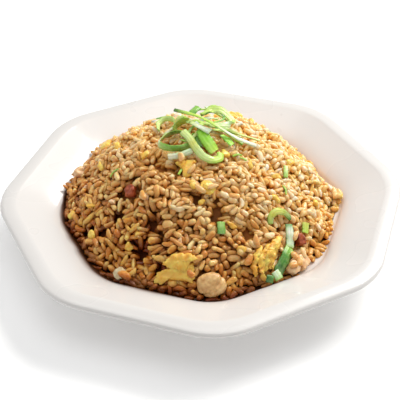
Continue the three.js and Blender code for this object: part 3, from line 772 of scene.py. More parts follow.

# %% [markdown]
# ## Egg
#
# The egg went into the wok first and broke into soft folds: torn flaps, one over the other, and a
# few strips. A crumpled ball would read as a lump, so each flap is a sheet of its own: rings of
# points that fill a torn outline, a rounded edge, and creases of ridged noise that all run one
# way. How high a point lies in the creases is kept on it, because ridges stay yellow while the
# hollows are painted orange: painted shade in the creases.

# %% Egg finish
def egg_finish():
    finish, tree, shader = new_finish("egg")
    patches = use_group(tree, mottle, {"Size mm": 4.5, "Sharpness": 0.2, "Detail": 3.0})
    yolk = mix_colours(tree, patches["Mask"], paint(246, 180, 62), paint(255, 234, 116))
    # Painted shade: where the creases are low, the hollows are painted orange-brown.
    fold = rescale(tree, read_value(tree, "fold"), 0.1, 0.85, 0.75, 0.0)
    crease_shaded = mix_colours(tree, fold, yolk, paint(220, 140, 44))
    # Soy and painted shade from the shared mask tint the near left side a little.
    soy = use_group(tree, soy_and_shade, {"Patch mm": 12.0, "Unevenness": 0.8})
    weight = rescale(tree, soy["Mask"], 0.0, 1.0, 0.0, 0.15)
    stained_and_shaded = mix_colours(tree, weight, crease_shaded, paint(198, 128, 44))
    oil = use_group(tree, oil_film, {"Spot mm": 3.0, "Dry": 0.5, "Oily": 0.24})
    pores = use_group(tree, mottle, {"Size mm": 1.1, "Sharpness": 0.3, "Detail": 4.0})
    set_inputs(tree, shader, {
        "Base Color": stained_and_shaded,
        "Roughness": oil["Roughness"],
        "Normal": add_bump(tree, pores["Height"], 0.4, 0.6),
        "Subsurface Weight": 0.3,
        "Subsurface Radius": (1.0, 0.6, 0.2),
        "Subsurface Scale": 2.0 * MM,
    })
    return finish


egg = egg_finish()
toppings = []
print("finish", egg.name)

# %% One flap
FLAP_AROUND = 84
FLAP_SHARES = np.array([0.12, 0.25, 0.38, 0.5, 0.62, 0.73, 0.83, 0.91, 0.97])
FLAP_EDGE = 3.0
FLAP_TEAR = 0.14
FLAP_TEAR_RATE = 0.45
FACES_APART = 0.6
CREASE_SIZE = 3.4
CREASE_STRETCH = 2.4
CREASE_SHARE = 0.8
CREASE_SINK = 0.45
GRIT_SIZE = 1.3
GRIT_HEIGHT = 0.22


def flap(outline, thickness, rise, axes, place, crease, heading, seed):
    """A torn sheet: upper face from its middle to the rim, then the lower one back again."""
    rim = smooth_route([(x, y, 0) for x, y in outline], FLAP_AROUND, closed=True)
    middle = rim.mean(0)
    arms = rim - middle
    torn = [1 + FLAP_TEAR * wobble(number, seed, FLAP_TEAR_RATE) for number in range(FLAP_AROUND)]
    arms *= np.array(torn)[:, None]
    rings = [(share, 1) for share in FLAP_SHARES] + [(1.0, 0)] + [(share, -1) for share in FLAP_SHARES[::-1]]
    local, folds = [], []

    def add_point(x, y, share, face):
        ridge = creases((x, y, FACES_APART * face), heading, CREASE_STRETCH, CREASE_SIZE, seed)
        grit = noise.noise(Vector((x, y, 3.0 * seed + face)) / GRIT_SIZE)
        full = math.sqrt(max(1 - share ** FLAP_EDGE, 0))
        height = face * thickness / 2 * full + crease * (CREASE_SHARE * ridge - CREASE_SINK)
        height += GRIT_HEIGHT * grit
        local.append((x, y, rise + height))
        folds.append(0.5 + 0.5 * ridge)

    add_point(middle[0], middle[1], 0, 1)
    for share, face in rings:
        for arm in arms:
            add_point(middle[0] + arm[0] * share, middle[1] + arm[1] * share, share, face)
    add_point(middle[0], middle[1], 0, -1)
    faces = closed_form(0, 1, len(rings), FLAP_AROUND, len(local) - 1)
    return place + np.array(local) @ axes, faces, np.array(folds)


print("a flap has", 2 * FLAP_AROUND * (2 * len(FLAP_SHARES) + 1), "triangles")

# %% Egg folds
# x, y, lift and turn of the seat, heading and depth of the creases, then the flaps: outline,
# thickness and rise.
EGG_FOLDS = {
    "egg_fold_front": (-17.9, -61.6, 0.7, -4, 15, 1.0, [
        ([(-9.8, -5.2), (-6.4, -6.8), (-4.6, -4.6), (0.7, -4.8), (5.3, -5.3), (8.6, -6), (8.9, 2.6),
          (3, 3.5), (-3.2, 0.8), (-8, -1)], 3, 0),
        ([(-5.8, 3.4), (-2.6, 1), (0.7, 0.7), (4.6, -2), (6.4, 0.6), (8.2, 3.8), (11.2, 5.1),
          (8.5, 7.6), (3.9, 7.9), (-1.4, 7.5), (-3.2, 4.9)], 2.6, 1.2),
    ]),
    "egg_fold_top": (-9, -15.4, 0.7, -4, 80, 0.6, [
        ([(-5.7, 2.9), (-3.6, 0.7), (-1.8, -1.8), (-1.3, -5.8), (0.8, -6.5), (2.8, -5.5), (3.6, -0.5),
          (5.1, 2.7), (1.5, 3.6), (-2.5, 3.8)], 3, 0),
    ]),
    "egg_fold_middle": (0.2, -30.2, 0.9, -4, 110, 0.9, [
        ([(-2.3, 3.8), (-3.6, -1.6), (-1.7, -3.3), (1.2, -4.2), (3.9, -1.4), (2.7, 1.7), (1.2, 4.3)],
         2.6, -0.2),
        ([(-2, 1.4), (-1.4, -1.8), (1.6, -2.4), (3.4, 0.8), (0.8, 3)], 1.6, 1),
    ]),
    "egg_fold_back": (22, 52, 0.7, 30, 20, 0.7, [
        ([(-7, 1), (-6, -4.4), (-2, -3.4), (3, -4.6), (7.4, 0.4), (6, 5.4), (1, 4), (-4, 5)], 3, 0),
        ([(-3, 1), (-1, -2.4), (4, -2.6), (5, 2), (1, 3.4)], 2.4, 1.3),
    ]),
    "egg_fold_left": (-50, 38, 0.7, 120, 40, 0.6, [
        ([(-5.6, 0), (-1.4, -2.8), (3.6, -3.6), (5.6, 1), (2.4, 3.2), (-2, 4)], 3.2, 0),
    ]),
}

for seed, (name, (x, y, lift, turn, heading, depth, flaps)) in enumerate(EGG_FOLDS.items()):
    axes = seat_axes(x, y, turn * DEGREE)
    place = on_mound(x, y, lift)
    parts = [
        flap(outline, thickness, rise, axes, place, depth, heading * DEGREE + number, 10 * seed + number)
        for number, (outline, thickness, rise) in enumerate(flaps)
    ]
    points, faces, folds = join_parts(parts)
    mesh = make_mesh(name + "_soft", points, faces, {"fold": folds})
    toppings.append(add_piece(name + "_soft", mesh, egg, "egg", name))
print(len(toppings), "egg folds")

# %% Torn strips of egg
# Width, lean, how the width swells along the strip, then the route of (x, y, lift).
EGG_STRIPS = {
    "egg_shred_high": (3.2, 24, (0.9, 1.6, 1.7, 1.2, 0.8), [
        (34, -44.9, 1), (31.1, -49.8, 1.8), (28.9, -54.1, 2.2), (27.6, -58.2, 2), (27.2, -60.2, 1.6),
    ]),
    "egg_shred_hook": (2.4, -18, (1.5, 1.0, 1.4, 0.9, 1.2, 0.8), [
        (28, -51.4, 1), (25.6, -55, 1.6), (24.2, -58.4, 1.8), (23.3, -61.7, 1.7), (24, -63.4, 1.6),
        (26.6, -63.4, 1.6),
    ]),
    "egg_shred_low": (2.8, 30, (0.8, 1.6, 1.0, 1.5, 0.6), [
        (24.2, -53, 0.9), (21.2, -58, 1.4), (20, -61.4, 1.4), (20.4, -63.7, 1.2),
    ]),
}
EGG_STRIP_THICKNESS = 1.7
EGG_STRIP_TAPER = 0.35
EGG_RUMPLE = 0.9
EGG_RUMPLE_SIZE = 2.2
EGG_PATCH_SIZE = 1.6


def rumple(points, seed):
    """Soft lumps all over, as in egg that set while it was stirred."""
    places = [Vector(point) / EGG_RUMPLE_SIZE + Vector((seed, 0, 0)) for point in points]
    return points + EGG_RUMPLE * np.array([noise.noise_vector(place) for place in places])


for seed, (name, (width, lean, girth, route)) in enumerate(EGG_STRIPS.items()):
    points, faces, values = strip(
        route, width, EGG_STRIP_THICKNESS, lean=lean, taper=EGG_STRIP_TAPER, ragged=0.5, twist=0.7,
        cup=0.7, girth=girth, steps=44, wide=8, seed=seed + 3,
    )
    points = rumple(points, seed)
    patch_noise = [noise.noise(Vector(point) / EGG_PATCH_SIZE) for point in points]
    # Lower towards the strip's sides, so they take the painted orange of the crease hollows; the noise makes
    # that uneven.
    folds = [0.8 - 0.5 * abs(over) + 0.6 * stain for over, stain in zip(values["across"], patch_noise)]
    mesh = make_mesh(name + "_torn", points, faces, {"fold": folds})
    toppings.append(add_piece(name + "_torn", mesh, egg, "egg", name))
print(len(EGG_STRIPS), "torn strips")

# %% Egg that joins the strips
# Thinner egg still joins them: a broad ragged flap below, a small curled one on top. Each has its
# place and lift, thickness, depth of creases and outline.
WEB_CREASES = 1.2
WEB_RISE = 0.2
WEBS = [
    ((26.4, -56.2, 1.4), 1.8, 0.7, [
        (-6.0, -3.6), (-5.0, -6.2), (-3.0, -4.4), (-1.2, -7.0), (0.6, -4.6), (2.6, -6.4), (3.2, -2.4),
        (5.0, 0.6), (5.6, 4.4), (7.4, 8.0), (4.4, 8.6), (2.0, 5.0), (-0.8, 4.4), (-3.4, 2.2), (-5.6, 0.4),
    ]),
    ((28.4, -53.6, 2.9), 1.5, 0.9, [
        (-4.4, -3.0), (-2.4, -4.8), (-0.8, -2.4), (1.4, -3.0), (2.8, 0.4), (5.0, 3.6), (2.8, 4.6),
        (-0.4, 2.2), (-3.0, 0.6),
    ]),
]


def web_flap(number, place, thickness, crease, outline):
    x, y, lift = place
    axes, seat = seat_axes(x, y, 0), on_mound(x, y, lift)
    points, faces, folds = flap(outline, thickness, WEB_RISE, axes, seat, crease, WEB_CREASES, 71 + number)
    return rumple(points, 9 + number), faces, folds


points, faces, folds = join_parts(web_flap(number, *web) for number, web in enumerate(WEBS))
web = make_mesh("egg_web", points, faces, {"fold": folds})
toppings.append(add_piece("egg_web", web, egg, "egg"))
print(len(toppings), "toppings so far")

# %% [markdown]
# ## Meat, scallop and onion dice
#
# The dice of roast pork and onion were cut with a knife and worn round by tossing. Their solids
# are welded, rounded by a subdivision surface and roughened with fine fibres. The round slice at
# the front is the end of a scallop: its fibres all run one way, so its creases are long and thin,
# and one deep crease crosses it where it began to split.

# %% Meat finish
def meat_finish(name, dark, light, fibre_mm, wet):
    finish, tree, shader = new_finish(name)
    fibres = use_group(tree, mottle, {"Size mm": fibre_mm, "Sharpness": 0.2, "Detail": 4.0})
    oil = use_group(tree, oil_film, {"Spot mm": 3.5, "Dry": 0.5, "Oily": wet})
    set_inputs(tree, shader, {
        "Base Color": mix_colours(tree, fibres["Mask"], dark, light),
        "Roughness": oil["Roughness"],
        "Normal": add_bump(tree, fibres["Height"], 0.3, 0.5),
        "Subsurface Weight": 0.2,
        "Subsurface Radius": (1.0, 0.5, 0.3),
        "Subsurface Scale": 2.0 * MM,
    })
    return finish


pork = meat_finish("roast pork", paint(226, 170, 112), paint(250, 216, 170), 3.0, 0.24)
red_pork = meat_finish("glazed pork edge", paint(122, 44, 18), paint(188, 92, 46), 1.6, 0.2)
scallop = meat_finish("scallop", paint(198, 146, 84), paint(238, 198, 136), 2.6, 0.22)
onion_white = meat_finish("cooked onion", paint(196, 172, 122), paint(236, 224, 188), 3.0, 0.2)
print("meat finishes ready")

# %% Dice
DICE = {
    "pork_dice_right": (pork, "pork"),
    "pork_dice_low": (pork, "pork"),
    "pork_dice_back": (pork, "pork"),
    "pork_dice_left": (pork, "pork"),
    "pork_red_left": (red_pork, "pork_red"),
    "pork_red_right": (red_pork, "pork_red"),
    "onion_dice_left": (onion_white, "leek_white"),
}
DICE_LEVELS = 3
DICE_EDGES = 1.0
DICE_SWELL = 0.2
DICE_LUMPS = 0.8
DICE_LUMP_SIZE = 3.1
DICE_FIBRES = 0.1
DICE_FIBRE_SIZE = 1.6
DICE_FIBRE_STRETCH = 3.0
DICE_FIBRE_TURN = 0.4


def make_die(name, finish, slot, seed):
    def wear(point):
        broad = noise.noise(point / DICE_LUMP_SIZE + Vector((seed, 0, 0)))
        fine = creases(point, DICE_FIBRE_TURN * seed, DICE_FIBRE_STRETCH, DICE_FIBRE_SIZE, seed)
        return DICE_SWELL + DICE_LUMPS * broad + DICE_FIBRES * fine

    mesh = soft_copy(name + "_soft", name, DICE_LEVELS, DICE_EDGES, wear)
    return add_piece(name + "_soft", mesh, finish, slot, name)


for seed, (name, (finish, slot)) in enumerate(DICE.items()):
    toppings.append(make_die(name, finish, slot, seed))
print(len(toppings), "toppings so far")

# %% Scallop slice
SCALLOP_LEVELS = 3
SCALLOP_EDGES = 0.1
SCALLOP_MIDDLE = Vector(on_mound(-1.3, -68.0, 0.6))
SCALLOP_FIBRES = 75 * DEGREE
FIBRE_STRETCH = 6.0
FIBRE_SIZE = 1.5
FIBRE_HEIGHT = 0.2
SCALLOP_LUMPS = 0.6
SCALLOP_LUMP_SIZE = 5
SPLIT_HEADING = 35 * DEGREE
SPLIT_WIDTH = 0.9
SPLIT_DEPTH = 0.8
SPLIT_WANDER = 0.8
SPLIT_WANDER_SIZE = 3


def scallop_form(point):
    fibre = creases(point, SCALLOP_FIBRES, FIBRE_STRETCH, FIBRE_SIZE, 2)
    broad = noise.noise(point / SCALLOP_LUMP_SIZE)
    across = Vector((-math.sin(SPLIT_HEADING), 0, math.cos(SPLIT_HEADING)))
    off = (point - SCALLOP_MIDDLE).dot(across) + SPLIT_WANDER * noise.noise(point / SPLIT_WANDER_SIZE)
    split = math.exp(-(off / SPLIT_WIDTH) ** 2)
    return FIBRE_HEIGHT * fibre + SCALLOP_LUMPS * broad - SPLIT_DEPTH * split


scallop_mesh = soft_copy(
    "scallop_slice_soft", "scallop_slice", SCALLOP_LEVELS, SCALLOP_EDGES, scallop_form,
)
toppings.append(add_piece("scallop_slice_soft", scallop_mesh, scallop, "scallop", "scallop_slice"))
print("scallop:", len(scallop_mesh.polygons), "faces")

# %% [markdown]
# ## Leek and spring onion
#
# A spring onion goes from white through lime to deep green, so one plain green never looks right.
# Each strip carries its own colours: they are named once, laid out along its length, and stored
# on its points, the inside face paler than the outside. The material reads them, and adds what
# all the strips share: fine veins that run their length, and a wet, waxy skin. Light shines
# through a leaf, so it is scattered under the skin and comes out lime.

# %% Group: veins of a leaf
def build_vein_group():
    group, start, end = new_group(
        "leaf veins",
        {"Veins": 5.0, "Waviness": 0.25},
        {"Mask": "NodeSocketFloat", "Height": "NodeSocketFloat"},
    )
    across = read_value(group, "across")
    waves = use_group(group, mottle, {"Size mm": 6.0, "Sharpness": 0.4, "Detail": 2.0})
    bent = add_math(group, "MULTIPLY_ADD", waves["Height"], start.outputs["Waviness"], across)
    turns = add_math(group, "MULTIPLY", bent, start.outputs["Veins"])
    wave = add_math(group, "SINE", add_math(group, "MULTIPLY", turns, 2 * math.pi))
    mask = rescale(group, wave, -1.0, 1.0)
    set_inputs(group, end, {"Mask": mask, "Height": mask})
    return group


leaf_veins = build_vein_group()
print("group", leaf_veins.name)

# %% Leaf finish
def leaf_finish():
    finish, tree, shader = new_finish("spring onion leaf")
    stored = add_node(tree, "ShaderNodeAttribute", attribute_name="tint").outputs["Color"]
    veins = use_group(tree, leaf_veins, {"Veins": 1.6, "Waviness": 0.3})
    shade = rescale(tree, veins["Mask"], 0.0, 1.0, 0.0, 0.28)
    veined = mix_colours(tree, shade, stored, paint(190, 222, 130), "MULTIPLY")
    patches = use_group(tree, mottle, {"Size mm": 2.6, "Sharpness": 0.2, "Detail": 3.0})
    lit = rescale(tree, patches["Mask"], 0.0, 1.0, 0.0, 0.22)
    mottled = mix_colours(tree, lit, veined, paint(240, 250, 180))
    from_middle = add_math(tree, "ABSOLUTE", read_value(tree, "across"))
    rim = rescale(tree, from_middle, 0.72, 0.95, 0.0, 0.6)
    oil = use_group(tree, oil_film, {"Spot mm": 3.0, "Dry": 0.42, "Oily": 0.18})
    set_inputs(tree, shader, {
        "Base Color": mix_colours(tree, rim, mottled, paint(150, 196, 96), "MULTIPLY"),
        "Roughness": oil["Roughness"],
        "Normal": add_bump(tree, veins["Height"], 0.3, 0.3),
        "Subsurface Weight": 0.35,
        "Subsurface Radius": (0.7, 1.0, 0.2),
        "Subsurface Scale": 1.5 * MM,
    })
    return finish


leaf = leaf_finish()
print("finish", leaf.name)

# %% Palette of a spring onion
WHITE = (250, 252, 240)
MINT = (214, 232, 204)
PALE = (214, 232, 150)
YELLOW = (214, 212, 92)
LIME = (194, 226, 84)
FRESH = (160, 230, 44)
SAGE = (160, 200, 96)
GRASS = (118, 180, 56)
OLIVE = (150, 168, 48)
LEAF = (70, 142, 50)
DARK = (36, 98, 46)
BLUSH = (240, 226, 206)


print("the palette goes from", WHITE, "to", DARK)

# %% Strips that carry their colours
def along_strip(row, share):
    """A row of colours laid out evenly from one end of a strip to the other."""
    stops = np.linspace(0, 1, len(row))
    linear = np.array([paint(*colour)[:3] for colour in row])
    return np.stack([np.interp(share, stops, linear[:, part]) for part in range(3)], 1)


def strip_part(shape, outside, inside):
    points, faces, values = shape
    share = np.asarray(values["along"])
    inner = np.asarray(values["inner"])[:, None]
    colours = along_strip(outside, share) * (1 - inner) + along_strip(inside, share) * inner
    return points, faces, values["across"], colours


def strips_mesh(name, strips):
    """One mesh of strips, each given as its shape and its colours outside and inside."""
    points, faces, across, colours = join_parts(strip_part(*each) for each in strips)
    mesh = make_mesh(name, points, faces, {"across": across})
    layer = mesh.attributes.new("tint", "FLOAT_COLOR", "POINT")
    opaque = np.hstack([colours, np.ones((len(colours), 1))])
    layer.data.foreach_set("color", opaque.astype(np.float32).ravel())
    return mesh


def add_leaf(name, slot, shape, colours):
    mesh = strips_mesh(name + "_leaf", [(shape, *colours)])
    return add_piece(name + "_leaf", mesh, leaf, slot, name)


print("strips can carry colours")

# %% Leek in the rice
# Width, thickness, route of (x, y, lift), then the colours along the outside and the inside.
LEEK = {
    "onion_ring_arch": (3.6, 0.8, [
        (30.4, -41.4, 0.4), (30.3, -38.4, 1.8), (32.9, -36, 2.4), (36.9, -34.6, 2.2), (41, -34.2, 0.8),
    ], ([SAGE, YELLOW, YELLOW, OLIVE, LEAF], [YELLOW, PALE])),
    "leek_white": (4.6, 1.0, [(39.7, -37.6, 1), (39.9, -41, 1.4), (39.7, -44.4, 1.3), (39, -47.4, 1.2)],
                   ([LEAF, MINT, WHITE, MINT, MINT, MINT, SAGE], [MINT, MINT])),
    "leek_leaf": (5.6, 0.8, [
        (39, -47.6, 1.2), (36.8, -52.2, 1.4), (34.4, -56, 1.5), (31.4, -60.2, 1.5),
    ], ([SAGE, GRASS, LEAF, LEAF, DARK, LEAF], [GRASS, LEAF])),
    "leek_tip": (4.4, 1.1, [(28.8, -60.6, 3), (29.8, -61.6, 3.5), (30.8, -62.8, 3.9)],
                 ([MINT, MINT, SAGE], [MINT, MINT])),
    "leek_tip_dark": (3.8, 1.1, [(24.6, -63.4, 3.9), (27.6, -63.4, 4.3)], ([DARK, LEAF], [LEAF, LEAF])),
    "onion_bit_front": (4, 1.1, [(5.6, -44.7, 0.7), (5.4, -47.4, 0.9), (5.3, -49.9, 0.7)],
                        ([SAGE, LEAF], [PALE, PALE])),
    "onion_bit_right": (2.6, 1.1, [(42.9, -5.8, 0.6), (42.4, -9.2, 0.8), (41.9, -12.4, 0.6)],
                        ([PALE, SAGE], [PALE, PALE])),
    "onion_bit_low": (4, 1.1, [(49.7, -32.8, 0.7), (49.1, -35, 0.9), (48.7, -37.4, 0.7)],
                      ([YELLOW, LIME], [PALE, PALE])),
    "leek_leaf_back": (4.6, 1.2, [(-26, 58, 0.9), (-21, 55.4, 1.2), (-15.4, 55.8, 0.9)],
                       ([LEAF, GRASS], [PALE, PALE])),
    "onion_bit_back": (3.6, 1.1, [(45, 37, 0.7), (43.4, 40, 0.9), (41, 42.4, 0.7)],
                       ([LIME, GRASS], [PALE, PALE])),
}
WHITE_LEEK = ("leek_white", "leek_tip")

for seed, (name, (width, thickness, route, colours)) in enumerate(LEEK.items()):
    shape = strip(route, width, thickness, cup=0.25, ragged=0.15, steps=24, wide=8, seed=seed + 11)
    slot = "leek_white" if name in WHITE_LEEK else "leek_green"
    toppings.append(add_leaf(name, slot, shape, colours))
print(len(toppings), "toppings so far")

# %% Shreds of the tangle
# Width, the way the width points, lean, route, then the colours outside and inside.
SHRED_THICKNESS = 0.8
SHREDS = {
    "shred_ring_left": (3.6, None, 62, [
        (-6.2, -0.6, 2.8), (-8.2, 5, 2.8), (-14, 8, 2.8), (-20, 5.5, 2.8), (-20.6, -3.4, 2.8),
        (-14.9, -7, 2.8), (-9, -6, 2.9), (-5.8, -4.4, 2.9),
    ], ([SAGE, LIME, PALE, BLUSH, SAGE, GRASS, SAGE], [LIME, GRASS, LEAF, PALE, BLUSH, GRASS, GRASS, LIME])),
    "shred_ring_far": (3, None, 60, [
        (-21.6, 14.4, 2.6), (-20.6, 22, 2.7), (-16.7, 24.5, 2.8), (-12.6, 22, 2.7), (-12.4, 16.8, 2.7),
        (-15, 13.6, 2.6),
    ], ([PALE, PALE, PALE], [GRASS, PALE, BLUSH, PALE])),
    # Its underside is painted dark leaf green, which stands for the shade under the strip.
    "shred_white_low": (3.2, None, 30, [(-17.7, -11, 3.4), (-11.8, -10.4, 3.4), (-5.4, -9.4, 3.3)],
                        ([BLUSH, MINT, MINT], [LEAF, LEAF])),
    "shred_broad": (5.8, None, 0, [(1.3, 0, 5.2), (2.6, -4.3, 4.6), (4, -8, 3.6), (5.4, -10.4, 2.6)],
                    ([FRESH, FRESH, LIME], [PALE, PALE])),
    "shred_broad_right": (4.8, None, 0, [(9.2, -1.4, 2.8), (11.6, -3.6, 3), (14, -5.4, 2.6)],
                          ([FRESH, FRESH], [PALE, PALE])),
    # Dark greens of its own, which also stand for the shade along the broad shred's left edge.
    "shred_dark_short": (3, None, 0, [(-3.4, 2.4, 3.2), (-1.8, -2.4, 3), (-0.8, -7, 2.4)],
                         ([GRASS, LEAF], [LEAF, LEAF])),
    "shred_hook": (4, None, 14, [
        (-8.6, 2.6, 6), (-5.6, -2.6, 6), (-3.2, -9.6, 5), (0, -14.4, 3.2), (3.8, -16, 2.6),
        (7, -14.2, 2.5), (8, -10.6, 2.6),
    ], ([PALE, PALE, YELLOW, PALE, PALE, LIME, LIME], [PALE, PALE])),
    "shred_arch": (3.8, (0.53, 0.21, -0.82), 0, [
        (-12.4, 8.4, 3.4), (-11, 10.8, 4.8), (-7.8, 12.8, 5.6), (-4.4, 14, 5.8),
    ], ([OLIVE, YELLOW], [OLIVE, YELLOW])),
    "shred_pale_left": (3.4, None, 0, [(-10.8, 16.2, 5), (-8.6, 17.4, 5.8), (-6, 17.6, 6.2)],
                        ([YELLOW, PALE], [PALE, PALE])),
    "shred_loop_big": (4.2, (0.66, 0.75, 0), 0, [
        (2.6, 11.4, 5.6), (7.2, 9.4, 4.4), (11.2, 8.8, 4), (14.4, 10.8, 4.6), (15.2, 14.8, 6.2),
        (13, 17.6, 8.2), (8, 17.8, 9.6), (3, 16.4, 9.6), (0.2, 15.2, 8.2),
    ], ([PALE, MINT, PALE], [PALE, LIME, PALE, LIME])),
    "shred_right": (2.8, None, 0, [
        (6.8, 2.4, 5.2), (11.3, 3.2, 4.8), (17.1, 4, 3.8), (23.6, 4, 2.9), (29.6, 2.8, 2.3),
    ], ([GRASS, OLIVE, YELLOW, PALE], [PALE, PALE])),
    "shred_dark_top": (4.2, None, 0, [(-3.6, 16.4, 7), (-2.4, 18, 7.6), (-1.2, 19.6, 7.8)],
                       ([GRASS, GRASS], [PALE, PALE])),
    "shred_pale_back": (3.2, None, 0, [(1.4, 20, 7.6), (3.6, 21.4, 7.8), (6, 22, 7.4)],
                        ([MINT, PALE], [PALE, PALE])),
    "shred_pale_middle": (3.2, None, 0, [(-5, 5.4, 7.6), (-1.6, 2.4, 7.5), (2.2, -0.8, 7), (4.6, -2.9, 6.3)],
                          ([PALE, WHITE, MINT], [PALE, PALE])),
    "shred_long": (2.4, None, 0, [
        (-8, 17.6, 12), (-2.4, 6, 10.6), (6.1, -1.6, 8.4), (15, -2.4, 5.2), (27.3, -1, 2.4),
    ], ([DARK, LIME, LIME, LIME, WHITE, WHITE, WHITE], [LIME, PALE, WHITE])),
}

for seed, (name, (width, across, lean, route, colours)) in enumerate(SHREDS.items()):
    shape = strip(
        route, width, SHRED_THICKNESS, across=across, lean=lean, cup=0.25, ragged=0.15, twist=0.12,
        steps=56, seed=seed + 23,
    )
    toppings.append(add_leaf(name, "spring_onion", shape, colours))
print(len(toppings), "toppings in all")

# %% Threads of the tangle
# More strands, most of them finer, lie in and under the shreds and fill the tangle. Width, route
# and colours outside.
THREADS = [
    (3.4, [(-10, 20.6, 3.8), (-6.2, 16.4, 5.2), (-3.9, 10.4, 6), (0.6, 3, 6.2)], [PALE, LIME, PALE, PALE]),
    (1.5, [(-0.1, 15.9, 6.5), (3.1, 16.7, 8), (8.6, 16.6, 8), (11.4, 14.4, 6.8), (10.4, 11.6, 5.4),
           (6.8, 10.8, 5)], [LEAF, GRASS, LEAF, GRASS, LIME]),
    (3, [(-3.6, 8, 6.6), (0, 2.6, 6.2), (3.6, -1.6, 5.6)], [MINT, WHITE, MINT]),
    (1.6, [(-13, 7.4, 3), (-11.6, 12.6, 4.2), (-8.4, 15.4, 5), (-4.4, 14.6, 6)], [OLIVE, GRASS, OLIVE, LIME]),
    (2, [(-7.6, 1, 4.2), (-4.4, 4.4, 5.6), (0, 6.6, 6.4), (5, 6.4, 6)], [PALE, SAGE, LIME, PALE]),
    (2.2, [(6.4, 5.6, 4.8), (11.2, 6.4, 3.8), (17, 6.8, 2.6)], [LIME, PALE, MINT]),
    (1.4, [(-4, 20, 5), (2, 21.6, 6.4), (9, 20.4, 6.4), (14.4, 16, 4.6)], [GRASS, LIME, PALE, LIME]),
    (2.4, [(12.2, 4, 2.4), (16.4, 1.2, 2.6), (20.6, -0.4, 2)], [LIME, YELLOW, GRASS]),
    (1.8, [(-19, 9, 2.2), (-15.6, 12.4, 2.8), (-10.4, 13.4, 3.4)], [SAGE, BLUSH, PALE]),
    (2.6, [(-6.6, 10.4, 5.6), (-2, 11, 6.6), (2.6, 8.4, 6)], [PALE, LIME, PALE]),
    (1.8, [(-10.6, -1, 3.6), (-6.4, -2.2, 4), (-2.8, -0.4, 4.6), (0.4, 4, 5.6)], [LIME, PALE, LIME]),
    (2, [(0, 12.6, 6.4), (4.4, 13.4, 6.6), (8.6, 12.4, 5.6)], [MINT, WHITE, PALE]),
    (1.6, [(5.6, -1.6, 5.6), (9.4, 1.2, 4.4), (14.6, 2.6, 3.4), (20.4, 3, 2.2)], [PALE, LIME, GRASS]),
]
THREAD_THICKNESS = 0.7


def thread(seed, width, route):
    return strip(route, width, THREAD_THICKNESS, cup=0.2, ragged=0.2, twist=0.4, seed=seed + 80)


threads = strips_mesh("shred_threads", [
    (thread(seed, width, route), row, [PALE, LIME]) for seed, (width, route, row) in enumerate(THREADS)
])
toppings.append(add_piece("shred_threads", threads, leaf, "spring_onion"))
print("threads:", len(threads.polygons), "triangles")

# %% [markdown]
# ## The core of the heap
#
# Only the outer layers of grains are ever seen, so the inside is one core, sunk under the heap's
# surface by a little less than a grain's length. It shows as the shadow at the bottom of the gaps
# between grains, and keeps light from leaking through.

# %% Core
CORE_DEPTH = 5.2
CORE_RINGS = 46
CORE_AROUND = 160
CORE_CLEAR = 0.3
CORE_INSET = 2.0
CORE_BUMP = 0.8
CORE_BUMP_SIZE = 3
CORE_UNDER = 0.98


def core_mesh():
    azimuth = np.arange(CORE_AROUND) * 2 * math.pi / CORE_AROUND
    foot = foot_distance(azimuth) - CORE_INSET
    points = [on_mound(MOUND_X, MOUND_Y, -CORE_DEPTH)]
    for ring in range(1, CORE_RINGS + 1):
        reach = foot * ring / CORE_RINGS
        x, y = MOUND_X + reach * np.cos(azimuth), MOUND_Y + reach * np.sin(azimuth)
        place = on_mound(x, y, np.full(CORE_AROUND, -CORE_DEPTH))
        place[:, 2] += [CORE_BUMP * noise.noise(Vector(spot) / CORE_BUMP_SIZE) for spot in place]
        floor = dish_surface(place[:, 0], place[:, 1]) + CORE_CLEAR
        place[:, 2] = np.maximum(place[:, 2], floor)
        points.extend(place)
    under = np.array(points[-CORE_AROUND:]) * (CORE_UNDER, CORE_UNDER, 0)
    under[:, 2] = WELL_FLOOR + CORE_CLEAR
    points.extend(under)
    points.append(np.array([MOUND_X, MOUND_Y, WELL_FLOOR + CORE_CLEAR]))
    faces = closed_form(0, 1, CORE_RINGS + 1, CORE_AROUND, len(points) - 1)
    return make_mesh("rice_core", np.array(points), faces)


core_form = core_mesh()
print("core:", len(core_form.polygons), "triangles")

# %% [markdown]
# ## Letting the grains fall
#
# Cooked grains are soft, sticky and a bit more than twice as long as they are wide. A rigid body
# simulation of some thousands would take far too long, and scattering them on the surface makes
# them cross. So they are dropped one at a time onto a height map: each grain is an ellipsoid that
# lies along the slope with some tilt, falls straight down until it rests on what is already
# there, and raises the map where it lies. Of a few places the deepest is filled first, and of a
# few headings the one that lets the grain sink deepest is kept, which is how grains settle when a
# plate is shaken. Neighbours tend to lie the same way, because a spoon dragged them, so the
# heading comes from a slow noise with some scatter.

# %% Height maps of the dish, the core and the heap
CELL = 0.45
HALF_MAP = 90.0
CELLS = int(2 * HALF_MAP / CELL)
NOISE_STEP = 5
DISH_CLEAR = 0.1

axis_mm = (np.arange(CELLS) + 0.5) * CELL - HALF_MAP
map_x, map_y = np.meshgrid(axis_mm, axis_mm, indexing="xy")
map_dish = dish_surface(map_x, map_y)
map_mound = mound_height(map_x, map_y)
map_slope = mound_normal(map_x, map_y)
map_filled = np.maximum(map_mound - CORE_DEPTH / map_slope[..., 2], map_dish + DISH_CLEAR)


def cells_at(values):
    """Rows or columns of the maps, as fractions, at these places in millimetres."""
    return (values + HALF_MAP) / CELL


def noise_map(size, seed):
    """Slow noise over the whole map, worked out on a coarse grid and blended between."""
    coarse = axis_mm[::NOISE_STEP] / size
    table = np.array([[noise.noise(Vector((x, y, seed))) for x in coarse] for y in coarse])
    index = np.minimum(np.arange(CELLS) / NOISE_STEP, len(coarse) - 1.001)
    low = index.astype(int)
    part = index - low
    rows = table[low] * (1 - part)[:, None] + table[low + 1] * part[:, None]
    return rows[:, low] * (1 - part) + rows[:, low + 1] * part


print("maps of", CELLS, "by", CELLS, "cells")

